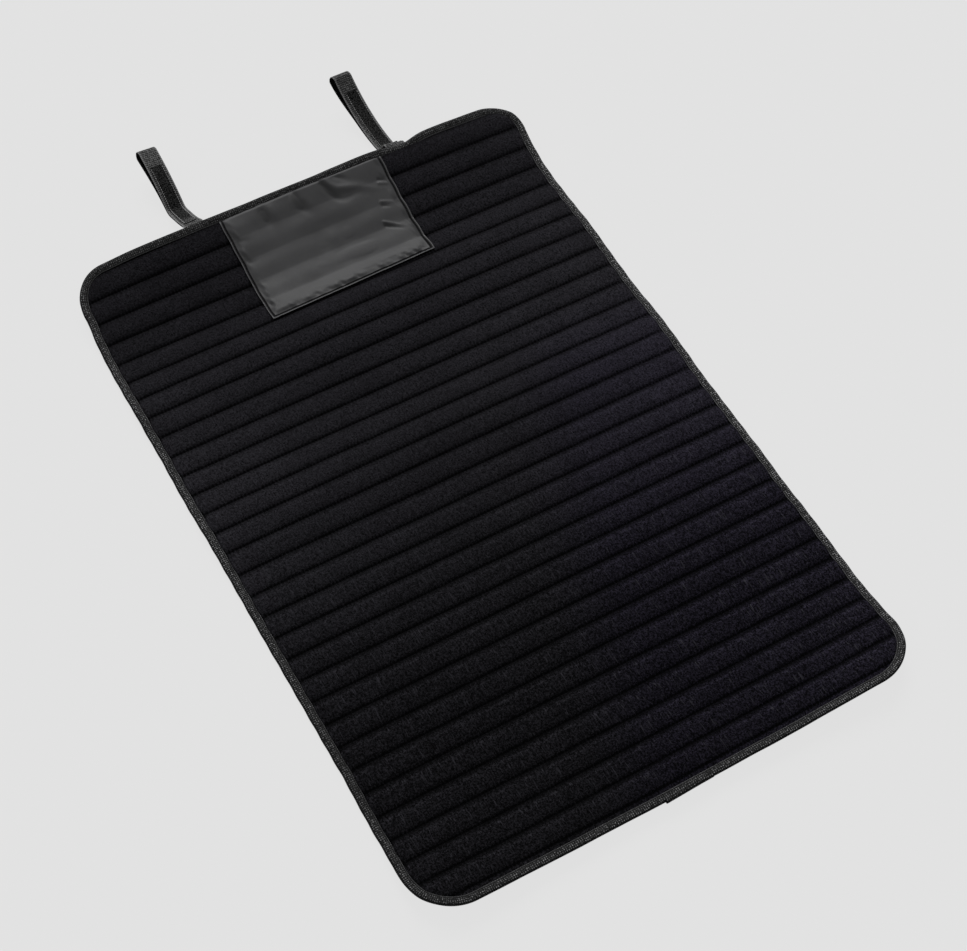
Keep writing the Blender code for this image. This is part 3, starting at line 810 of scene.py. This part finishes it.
# Painted shade in the groove that the hem's stitches draw, round the dark thread
patch_colour = (stitch_line * 0.95).mix(patch_colour, tone(2, 2, 3))
patch_height = ripstop * 0.15 + creases
patch_gloss = 0.46 + 0.16 * cloudy + 0.4 * stitch_line
dress(paint, patch_colour, patch_gloss, patch_height, 0.0007, 0.35, Specular_IOR_Level=0.24)

hem_steps = np.array(HEM_STEPS) * MM
hem_end = hem_steps[-1] + 0.0012
side_steps = hem_steps / PATCH_WIDTH
side_end = hem_end / PATCH_WIDTH
middle_columns = np.linspace(side_end, 1 - side_end, PATCH_COLUMNS)
columns = np.concatenate([side_steps, middle_columns, 1 - side_steps[::-1]])
middle_rows = np.linspace(1 - hem_end / PATCH_LENGTH, 0, PATCH_ROWS)
rows = np.concatenate([1 - hem_steps / PATCH_LENGTH, middle_rows])
across, down = np.meshgrid(columns, rows)
x, y, top, rim = patch_surface(across, down)
patch = thin_piece("smooth_patch", x, y, top, top - PATCH_THICKNESS, patch_finish)
note(patch, "rim", np.tile(rim.ravel(), 2))
# The valleys beside the folds lie in shade
valleys = sum(fold_height(x, y, points, width, 1 / MM) for points, width, rise in FOLDS if rise < 0)
note(patch, "hollow", np.tile(np.clip(valleys, 0, 1).ravel(), 2))
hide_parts("front_patch")


def patch_line(inset, spacing):
    """Places of the stitches down one side, along the lower edge and up the other side of the patch."""
    share_x = inset / PATCH_WIDTH
    share_y = 1 - inset / PATCH_LENGTH
    down_side = np.arange(0.035, share_y, spacing / PATCH_LENGTH)
    along_low = np.arange(share_x, 1 - share_x, spacing / PATCH_WIDTH)
    legs = [(np.full(len(down_side), share_x), down_side), (along_low, np.full(len(along_low), share_y)),
            (np.full(len(down_side), 1 - share_x), down_side[::-1])]
    places = []
    for u, v in legs:
        x, y, z, _ = patch_surface(u, v)
        places.append(np.stack([x, y, z], 1))
    return places


patch_thread = thread_finish("patch_thread", tone(4, 4, 4), tone(14, 14, 15), 0.1)
centres = []
directions = []
for leg in patch_line(HEM_STITCH, HEM_STITCH_PITCH):
    centres.append((leg[:-1] + leg[1:]) / 2)
    directions.append(leg[1:] - leg[:-1])
centres = np.concatenate(centres)
centres[:, 2] += HEM_THREAD_PROUD
along = unit(np.concatenate(directions))
patch_stitches = stitch_piece("patch_stitches", centres, along, UP, HEM_STITCH_LENGTH, HEM_THREAD_WIDTH,
                              patch_thread, "patch")

# ---------------------------------------------------------------------------
# Edge binding: a ribbed grosgrain tape folded over the edge of all the layers and sewn through.
# It is pinched at every quilting line, and its two ends lap at the near edge.

TAPE_THICKNESS = 0.0008
TAPE_HIGH = 0.0052
TAPE_LOW = 0.0002
TAPE_STEP = 0.0025
TAPE_RIB = 0.0024
TAPE_PICK = 0.0023
# How much wider the tape lies than its section, all round and more at the strap end
TAPE_SPREAD = 1.05
TAPE_END_SPREAD = 0.07
# How far it stands up between two lines, and how far from the middle that starts
TAPE_STAND = 0.0008
TAPE_STAND_FROM = 0.27
TAPE_WANDER = 0.0003
# Painted light on the tape: how light its colour is painted at places along the pad, on its left and on its
# right, standing in for how the light falls on it
TAPE_PAINTED_LIGHT_PLACES = (-0.42, -0.25, 0.10, 0.44, 0.485)
TAPE_PAINTED_LIGHT = ((0.54, 0.42, 0.78, 0.75, 0.42), (0.60, 0.92, 1.15, 0.95, 0.50))
TAPE_STITCH_DEPTH = 0.0076
TAPE_STITCH_PITCH = 0.0034
TAPE_STITCH_LENGTH = 0.0028
TAPE_THREAD_WIDTH = 0.0006
TAPE_THREAD_SINK = 0.0003
CORNER_POINTS = 33
# The lap: its ends, how far it stands out at its right end and how much more at its cut left end,
# its thickness, how far its inner and outer faces rise over the tape below and which share of that
# they drop on the underside, and how far its ribs are out of step
LAP_LEFT = -0.0262
LAP_RIGHT = 0.034
LAP_OUT = 0.0005
LAP_OUT_MORE = 0.0017
LAP_THICKNESS = 0.0007
LAP_RISE = (0.0002, 0.0009)
LAP_DROP = 0.15
LAP_SHIFT = 0.0007


def distances(line):
    """How far along a line each of its points lies."""
    return np.concatenate([[0], np.cumsum(np.linalg.norm(np.diff(line, axis=0), axis=1))])


def outline(step):
    """Points round the pad's outline at even steps, their inward directions and distances along it."""
    points = []
    order = ((1, 1), (-1, 1), (-1, -1), (1, -1))
    for turn, (side, end) in enumerate(order):
        radius = CORNERS[side, end]
        edge_y = STRAP_EDGE_Y if end > 0 else NEAR_EDGE_Y
        centre = np.array([side * (PAD_WIDTH / 2 - radius), edge_y - end * radius])
        angles = math.pi / 2 * (turn + np.linspace(0, 1, CORNER_POINTS))
        points.append(centre + radius * np.stack([np.cos(angles), np.sin(angles)], 1))
    points = np.concatenate(points)
    closed = np.vstack([points, points[:1]])
    gone = distances(closed)
    count = int(round(gone[-1] / step))
    wanted = np.arange(count) * gone[-1] / count
    line = np.stack([np.interp(wanted, gone, closed[:, k]) for k in range(2)], 1)
    ahead = unit(np.roll(line, -1, 0) - np.roll(line, 1, 0))
    inward = np.stack([-ahead[:, 1], ahead[:, 0]], 1)
    stray = side_wander(line[:, 1], 1) * np.maximum(0, -inward[:, 0])
    stray += side_wander(line[:, 1], -1) * np.maximum(0, inward[:, 0])
    stray += end_wander(line[:, 0]) * np.maximum(0, -inward[:, 1]) ** 3
    stray += TAPE_WANDER * drift(wanted, wanted * 0, 0.03, 1, 41)
    return line - inward * stray[:, None], inward, wanted


def pinch(x, y):
    """How much the tape stands up between the quilting lines: 0 at a line, 1 half way."""
    place = (y - line_shift(x, y) - NEAR_SEAM_Y) / SEAM_PITCH
    return np.abs(np.sin(math.pi * place)) ** 0.5 * fade((np.abs(x) - TAPE_STAND_FROM) / 0.02)


# The tape's section: depth in from the outline and height, from its upper inner edge round the fold
# on its outer face, and then back on its inner face
TAPE_SECTION = np.array([
    (BINDING_WIDTH, TAPE_HIGH - 0.0002), (0.0088, TAPE_HIGH + 0.0001), (0.0076, TAPE_HIGH - 0.0003),
    (0.0064, TAPE_HIGH + 0.00025), (0.0045, TAPE_HIGH + 0.0004), (0.0028, TAPE_HIGH + 0.0002),
    (0.0014, TAPE_HIGH - 0.0003), (0.0004, TAPE_HIGH - 0.0012), (0.0, TAPE_HIGH - 0.0025),
    (0.0004, TAPE_LOW + 0.0012), (0.0014, TAPE_LOW + 0.0003), (0.0028, TAPE_LOW), (0.0064, TAPE_LOW),
    (BINDING_WIDTH, TAPE_LOW + 0.0001),
    (BINDING_WIDTH, TAPE_LOW + TAPE_THICKNESS), (0.0020, TAPE_LOW + TAPE_THICKNESS),
    (0.0010, TAPE_LOW + 0.0018), (0.0010, TAPE_HIGH - 0.0020), (0.0022, TAPE_HIGH - 0.0008),
    (0.0045, TAPE_HIGH - 0.0006), (0.0064, TAPE_HIGH - 0.0007), (BINDING_WIDTH, TAPE_HIGH - 0.0009),
])
OUTER_POINTS = 14
TAPE_MIDDLE = (TAPE_HIGH + TAPE_LOW) / 2


def tape_points(line, inward, wanted, section):
    """Points of the tape at each station. It is a little wider at the strap end."""
    wider = TAPE_SPREAD + TAPE_END_SPREAD * fade((line[:, 1] - 0.44) / 0.03)
    depth = section[None, :, 0] * wider[:, None]
    x = line[:, None, 0] + inward[:, None, 0] * depth
    y = line[:, None, 1] + inward[:, None, 1] * depth
    high = section[None, :, 1] > TAPE_MIDDLE
    puff = np.sin(math.pi * np.clip(section[:, 0] / BINDING_WIDTH, 0, 1))[None] * high
    uneven = drift(wanted[:, None], section[None, :, 0], 0.012, 0.004, 43)
    stand = TAPE_STAND * pinch(x, y) + TAPE_WANDER * uneven
    z = lift(x, y) + section[None, :, 1] + stand * puff
    return np.stack([x, y, z], -1)


def tape_painted_light_at(x, y):
    """How light the tape's colour is painted at a place: painted light and shade."""
    left = np.interp(y, TAPE_PAINTED_LIGHT_PLACES, TAPE_PAINTED_LIGHT[0])
    right = np.interp(y, TAPE_PAINTED_LIGHT_PLACES, TAPE_PAINTED_LIGHT[1])
    return left + (right - left) * fade(x / PAD_WIDTH + 0.5)


def sweep_piece(name, rings, finish, closed):
    """A band swept through rings of points. An open one gets a cap at each end."""
    count, size = rings.shape[:2]
    last = count if closed else count - 1
    i = np.arange(last)[:, None]
    j = np.arange(size)[None]
    ahead = (i + 1) % count
    beside = (j + 1) % size
    faces = np.stack([i * size + j, i * size + beside, ahead * size + beside, ahead * size + j], -1)
    faces = faces.reshape(-1, 4).tolist()
    if not closed:
        faces += [tuple(range(size))[::-1], tuple(range((count - 1) * size, count * size))]
    return mesh_piece(name, rings.reshape(-1, 3), faces, finish)


def ribbed(paint, along, across, rib, pick):
    """A ribbed weave: its ribs, and how much each spot of it catches the light."""
    jumble = noise(paint, 300, 1) * 0.0012
    ribs = (along + jumble).wave(rib).between(0.25, 0.75)
    picks = (across + jumble).wave(pick).between(0.25, 0.75)
    lint = noise(paint, 620, 2, 0.7)
    return ribs, ribs * (0.3 + 0.7 * picks) * 0.5 + lint.between(0.44, 0.58) * 0.5


tape_finish, paint = material_tree("grosgrain_tape")
tape_depth = noted(paint, "depth")
ribs, worn_tape = ribbed(paint, noted(paint, "along"), tape_depth, TAPE_RIB, TAPE_PICK)
tape_colour = (worn_tape ** 3.8).mix(tone(1, 1, 1), tone(155, 155, 156))
tape_colour = tape_depth.close_to(BINDING_WIDTH, 0.0001, 0.0009).mix(tape_colour, tone(82, 82, 83))
# Painted light and shade along the tape
tape_colour = noted(paint, "painted_light").mix(tone(2, 2, 2), tape_colour)
# Painted shade on the tape's outer face round its fold
tape_colour = (tape_depth.close_to(0.0, 0.0006, 0.0022) * 0.95).mix(tape_colour, tone(4, 4, 4))
# Painted shade in the groove that the binding's stitches draw
stitch_groove = tape_depth.close_to(TAPE_STITCH_DEPTH, 0.0002, 0.0010)
tape_colour = (stitch_groove * 0.85).mix(tape_colour, tone(5, 5, 5))
dress(paint, tape_colour, 0.75, ribs, 0.0004, 0.6, Specular_IOR_Level=0.15)

line, inward, wanted = outline(TAPE_STEP)
rings = tape_points(line, inward, wanted, TAPE_SECTION)
binding = sweep_piece("binding_tape", rings, tape_finish, True)
note(binding, "along", np.repeat(wanted, len(TAPE_SECTION)))
note(binding, "depth", np.tile(TAPE_SECTION[:, 0], len(wanted)))
note(binding, "painted_light", tape_painted_light_at(rings[:, :, 0], rings[:, :, 1]))
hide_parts("edge_binding")

# The lap covers the tape's outer face: its section runs round on its own outer face and back inside
lapped = (line[:, 1] < NEAR_EDGE_Y + 0.004) & (line[:, 0] > LAP_LEFT) & (line[:, 0] < LAP_RIGHT)
lap_section = np.concatenate([TAPE_SECTION[:OUTER_POINTS], TAPE_SECTION[:OUTER_POINTS][::-1]])
depth, height = lap_section.T
inner_face = np.arange(len(lap_section)) >= OUTER_POINTS
near_fold = fade((0.008 - depth) / 0.006)
to_cut_end = (LAP_RIGHT - line[lapped, 0]) / (LAP_RIGHT - LAP_LEFT)
out = (LAP_OUT + LAP_OUT_MORE * to_cut_end ** 1.3)[:, None] * near_fold
out = out - np.where(inner_face, LAP_THICKNESS, 0.0) * near_fold
rise = np.where(inner_face, *LAP_RISE) * np.where(height > TAPE_MIDDLE, 1, -LAP_DROP)
place = line[lapped][:, None] + inward[lapped][:, None] * (depth - out)[:, :, None]
lap_rings = np.dstack([place, lift(place[:, :, 0], place[:, :, 1]) + height + rise])
lap = sweep_piece("binding_lap", lap_rings, tape_finish, False)
note(lap, "along", np.repeat(wanted[lapped] + LAP_SHIFT, len(lap_section)))
note(lap, "depth", np.tile(depth, lapped.sum()))
note(lap, "painted_light", tape_painted_light_at(lap_rings[:, :, 0], lap_rings[:, :, 1]))

tape_thread = thread_finish("tape_thread", tone(16, 16, 17), tone(46, 46, 48))
edge, edge_inward, _ = outline(TAPE_STITCH_PITCH)
spot = edge + edge_inward * TAPE_STITCH_DEPTH
along = np.column_stack([unit(np.roll(spot, -1, 0) - spot), np.zeros(len(spot))])
stand = TAPE_STAND * pinch(*spot.T) * math.sin(math.pi * TAPE_STITCH_DEPTH / BINDING_WIDTH)
centres = np.column_stack([spot, lift(*spot.T) + TAPE_HIGH - TAPE_THREAD_SINK + stand])
stitch_piece("binding_stitches", centres, along, UP, TAPE_STITCH_LENGTH, TAPE_THREAD_WIDTH,
             tape_thread, "binding")

# ---------------------------------------------------------------------------
# Straps: two bands of woven webbing sewn under the binding at the strap end, each folded back on
# itself at its tip, so that it lies as a flat loop.

STRAP_WIDTH = 0.0215
STRAP_THICKNESS = 0.0012
STRAP_REACH = 0.150
STRAP_ROOT = 0.0090
STRAP_GAP = 0.0004
STRAP_STEPS = 145
FOLD_STEPS = 20
WEB_RIB = 0.0026
WEB_PICK = 0.0024
FOLD_RADIUS = 0.0052
BACK_END = 0.008
LEAVE_LENGTH = 0.008
BEND_LENGTH = 0.017
# Each strap: x at its root, lean, skew of its lower run, angle of its drop, distance to its bend,
# angles of its rise after the bend and at its fold, and the length over which its loop stands open
STRAPS = {
    "left": (-0.1300, -0.0006, 0.003, -27.5, 0.0625, 36, 10, 0.088),
    "right": (0.1440, -0.0096, 0.004, -66, 0.030, -6, 41, 0.062),
}
ROOT_BLEND = 0.030
# How much wider each strap is at its root on its left and right, where that starts to end and over
# what length, and how far the right side of its root hangs down
ROOT_FLARE = {"left": (0.0, 0.002, 0.0, 0.016, 0.0), "right": (0.0024, 0.0012, 0.0100, 0.0150, 0.0050)}
# How much each strap is twisted at its tip
TWIST = {"left": -0.13, "right": 0.02}
# Width of the webbing with its fuzzy selvedges, and half the height of a band's rounded edges
LOOK_WIDTH = 0.0232
EDGE_HEIGHT = 0.18
# How far from the root's start its droop comes in
DROOP_REACH = 0.006
# Under the binding of the solid model, and the gap left there
CAD_BINDING_LOW = 0.0001
BINDING_GAP = 0.0003


def cad_edge(x, y):
    """Height of the solid model's resting plane close to the strap end."""
    share = abs(x) / (PAD_WIDTH / 2)
    reach, power, high, sides, lean = STRAP_CURL
    curl = max(0.0, 1.0 - (STRAP_EDGE_Y - y) / reach) ** power
    return curl * (high + (sides - high) * share + lean * x / (PAD_WIDTH / 2))


def strap_line(x, lean, skew, drop, bend_at, run_start, run_end, opening):
    """Centre line of a strap from its root, round its fold and back to its free end."""
    drop, run_start, run_end = (math.radians(angle) for angle in (drop, run_start, run_end))
    under = CAD_BINDING_LOW - BINDING_GAP - STRAP_THICKNESS / 2
    slope = math.atan2(cad_edge(x, STRAP_EDGE_Y) - cad_edge(x, STRAP_EDGE_Y - STRAP_ROOT), STRAP_ROOT)
    length = STRAP_REACH - FOLD_RADIUS
    y = STRAP_EDGE_Y
    z = cad_edge(x, y) + under
    root_z = cad_edge(x, y - STRAP_ROOT) + under
    run = [(-STRAP_ROOT, x, y - STRAP_ROOT, root_z, slope), (0.0, x, y, z, slope)]
    for k in range(1, STRAP_STEPS + 1):
        gone = length * k / STRAP_STEPS
        leave = float(fade(gone / LEAVE_LENGTH))
        turn = float(fade((gone - bend_at) / BEND_LENGTH + 0.5))
        rise = run_start + (run_end - run_start) * min(1.0, max(0.0, (gone - bend_at) / (length - bend_at)))
        angle = (slope * (1 - leave) + drop * leave) * (1 - turn) + rise * turn
        y += math.cos(angle) * length / STRAP_STEPS
        z += math.sin(angle) * length / STRAP_STEPS
        if k % 2 == 0 or k == STRAP_STEPS:
            run.append((gone, x + lean * gone / length, y, z, angle))
    _, end_x, end_y, end_z, end_angle = run[-1]
    down = (math.sin(end_angle), -math.cos(end_angle))
    ahead = (math.cos(end_angle), math.sin(end_angle))
    fold = []
    for k in range(1, FOLD_STEPS):
        turn = math.pi * k / FOLD_STEPS
        out = FOLD_RADIUS * math.sin(turn)
        drop_by = FOLD_RADIUS * (1 - math.cos(turn))
        fold.append((end_x - skew * k / FOLD_STEPS, end_y + ahead[0] * out + down[0] * drop_by,
                     end_z + ahead[1] * out + down[1] * drop_by))
    close = STRAP_THICKNESS + STRAP_GAP
    back = []
    for gone, px, py, pz, angle in reversed(run):
        if gone < BACK_END:
            break
        opened = float(fade((gone - (length - opening)) / opening))
        apart = close + (2 * FOLD_RADIUS - close) * opened
        back_x = px - skew * (gone / length) ** 2
        back.append((back_x, py + math.sin(angle) * apart, pz - math.cos(angle) * apart))
    line = np.array([(px, py, pz) for _, px, py, pz, _ in run] + fold + back)
    # The root follows the pad's own edge, which sags a little less than the solid model's
    raised = float(lift(x, STRAP_EDGE_Y)) - cad_edge(x, STRAP_EDGE_Y)
    line[:, 2] += raised * (1 - fade((line[:, 1] - STRAP_EDGE_Y) / ROOT_BLEND))
    return line, len(run)


def bank_along(side, line):
    """How much a strap slopes across its width, along a line on it."""
    x = STRAPS[side][0]
    half = STRAP_WIDTH / 2
    root = (cad_edge(x + half, STRAP_EDGE_Y) - cad_edge(x - half, STRAP_EDGE_Y)) / STRAP_WIDTH
    return root + TWIST[side] * np.clip((line[:, 1] - STRAP_EDGE_Y) / STRAP_REACH, 0, 1)


def band_rings(line, width, thickness, offset, bank, edge_round=0.35):
    """Rings of a flat band along a line, offset towards its upper side. Also each ring's distance along
    the line and each point's distance across the band."""
    before = np.vstack([line[:1], line[:-1]])
    after = np.vstack([line[1:], line[-1:]])
    run = unit(after[:, 1:] - before[:, 1:])
    up = np.stack([-run[:, 1], run[:, 0]], 1)
    half = width / 2
    ease = thickness * edge_round
    outer, inner = half * 0.82, half * 0.4
    upper = [-half, -half + ease, -outer, -inner, 0, inner, outer, half - ease, half]
    heights = [EDGE_HEIGHT] + [0.5] * (len(upper) - 2) + [EDGE_HEIGHT]
    sections = list(zip(upper, heights))
    sections += [(s, -height) for s, height in reversed(sections)]
    rings = []
    for side, height in sections:
        rise = offset + height * thickness
        rings.append(np.stack([line[:, 0] + side, line[:, 1] + up[:, 0] * rise,
                               line[:, 2] + up[:, 1] * rise + side * bank], 1))
    return np.stack(rings, 1), distances(line), np.array([s for s, _ in sections])


webbing, paint = material_tree("strap_webbing")
web_across = noted(paint, "across")
ribs, worn_web = ribbed(paint, noted(paint, "along"), web_across, WEB_RIB, WEB_PICK)
web_colour = (worn_web ** 1.3).mix(tone(14, 14, 14), tone(112, 112, 112))
selvedge = 1 - web_across.close_to(0.0, LOOK_WIDTH * 0.42, LOOK_WIDTH * 0.47)
web_colour = (selvedge * (0.5 + 0.4 * ribs)).mix(web_colour, tone(128, 128, 128))
web_colour = noted(paint, "inner").mix(web_colour, tone(2, 2, 2))
dress(paint, web_colour, 0.75, ribs, 0.0004, 0.6, Specular_IOR_Level=0.12)

strap_lines = {}
for side, values in STRAPS.items():
    line, upper_count = strap_line(*values)
    strap_lines[side] = (line, upper_count)
    rings, gone, across = band_rings(line, LOOK_WIDTH, STRAP_THICKNESS, 0.0, bank_along(side, line))
    flare_left, flare_right, flare_start, flare_length, droop = ROOT_FLARE[side]
    near_root = 1 - fade((line[:, 1] - STRAP_EDGE_Y - flare_start) / flare_length)
    near_root *= np.arange(len(gone)) < upper_count
    widen = flare_right * fade(across / LOOK_WIDTH * 2) - flare_left * fade(across / LOOK_WIDTH * -2)
    rings[:, :, 0] += near_root[:, None] * widen[None]
    hanging = near_root * fade((line[:, 1] - STRAP_EDGE_Y) / DROOP_REACH + 0.8)
    rings[:, :, 2] -= droop * hanging[:, None] * fade(across / LOOK_WIDTH + 0.5)[None]
    strap = sweep_piece("webbing_" + side, rings, webbing, False)
    note(strap, "along", np.repeat(gone, len(across)))
    note(strap, "across", np.tile(across, len(gone)))
    # The inner faces and the edges of the lower run lie in shade
    inner = (np.arange(len(across)) >= len(across) // 2)[None] | (
        (np.arange(len(gone)) > upper_count + 10)[:, None] & (np.abs(across) > LOOK_WIDTH * 0.46)[None])
    note(strap, "inner", inner)
    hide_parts("strap_" + side)

# ---------------------------------------------------------------------------
# Pile tape: a strip of soft black loop pile sewn along the upper run of each strap, with a row of
# pale stitches down each of its edges. The hooks under the lower run grip it when a strap is closed.

PILE_WIDTH = 0.015
PILE_THICKNESS = 0.0012
PILE_LENGTH = 0.112
SEWN_GAP = 0.0001
TACK_LENGTH = 0.0026
TACK_WIDTH = 0.0010
TACK_INSET = 0.0003
# Bare webbing past each pile tape, and how far each tape lies off its strap's middle
PILE_TIP_MARGIN = {"left": 0.027, "right": 0.0225}
PILE_OFF_CENTRE = {"left": 0.0, "right": 0.0012}


def stretch(line, start, end):
    """The part of a line between two distances along it."""
    wanted = np.linspace(start, end, int((end - start) / MM) + 1)
    return np.stack([np.interp(wanted, distances(line), line[:, k]) for k in range(3)], 1)


pile_finish, paint = material_tree("loop_pile")
loops = paint.node("ShaderNodeTexVoronoi", {}, {"Vector": place_of(paint), "Scale": 700.0}, "Distance")
fuzz = noise(paint, 650, 3, 0.7)
pile_spots = (loops * 0.3 + fuzz.between(0.44, 0.58) * 0.8).between(0.1, 0.9)
worn_root = coordinate(paint, "Y").between(STRAP_EDGE_Y + 0.030, STRAP_EDGE_Y + 0.008)
pile_colour = pile_spots.mix(tone(1, 1, 1), worn_root.mix(tone(50, 50, 50), tone(96, 96, 96)))
dress(paint, pile_colour, 0.95, loops * 0.5 + fuzz, 0.001, 0.9,
      Specular_IOR_Level=0.05, Sheen_Weight=0.01, Sheen_Roughness=0.5)
tack_thread = thread_finish("tack_thread", tone(105, 105, 105), tone(165, 165, 165), 0.1)
pile_offset = STRAP_THICKNESS / 2 + SEWN_GAP + PILE_THICKNESS / 2
for side, (line, upper_count) in strap_lines.items():
    pile_end = STRAP_ROOT + STRAP_REACH - PILE_TIP_MARGIN[side]
    run = stretch(line[:upper_count], pile_end - PILE_LENGTH, pile_end)
    bank = bank_along(side, run)
    run[:, 0] += PILE_OFF_CENTRE[side]
    run[:, 2] += PILE_OFF_CENTRE[side] * bank
    rings, _, _ = band_rings(run, PILE_WIDTH, PILE_THICKNESS, pile_offset, bank, 0.6)
    pile = sweep_piece("loop_pile_" + side, rings, pile_finish, False)
    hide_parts("pile_tape_" + side)
    # A row of stitches down each of its edges, on every third point of the run
    along = unit(run[2:] - run[:-2])
    level = np.zeros(len(along))
    up = np.stack([level, -along[:, 2], along[:, 1]], 1)
    sideways = np.stack([level + 1, level, bank[1:-1]], 1)
    picked = np.arange(2, len(along) - 2, 3)
    seam = (run[1:-1] + up * (pile_offset + PILE_THICKNESS * 0.55))[picked]
    rows = [seam + sideways[picked] * (edge * (PILE_WIDTH / 2 - TACK_INSET)) for edge in (-1, 1)]
    stitch_piece("pile_stitches_" + side, np.concatenate(rows), np.tile(along[picked], (2, 1)),
                 np.tile(up[picked], (2, 1)), TACK_LENGTH, TACK_WIDTH, tack_thread, "pile")

# ---------------------------------------------------------------------------
# Hook tape: a strip of moulded hooks sewn under the lower run of each strap. It lies hidden there
# and grips the pile tape when the strap is closed round a roof bar.

HOOK_WIDTH = 0.016
HOOK_THICKNESS = 0.0008
HOOK_LENGTH = 0.040
HOOK_END_MARGIN = 0.030

hook_finish, paint = material_tree("hook_tape")
hooks = paint.node("ShaderNodeTexVoronoi", {"feature": "F1"},
                   {"Vector": place_of(paint), "Scale": 900.0, "Randomness": 0.25}, "Distance")
hook_colour = hooks.between(0.2, 0.6).mix(tone(38, 38, 38), tone(14, 14, 14))
dress(paint, hook_colour, 0.5, 1 - hooks, 0.0006, 0.9, Specular_IOR_Level=0.4)

hook_offset = STRAP_THICKNESS / 2 + SEWN_GAP + HOOK_THICKNESS / 2
for side, (line, _) in strap_lines.items():
    run = stretch(line[::-1], HOOK_END_MARGIN, HOOK_END_MARGIN + HOOK_LENGTH)
    rings, _, _ = band_rings(run, HOOK_WIDTH, HOOK_THICKNESS, -hook_offset, bank_along(side, run))
    hook = sweep_piece("hooks_" + side, rings, hook_finish, False)
    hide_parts("hook_tape_" + side)
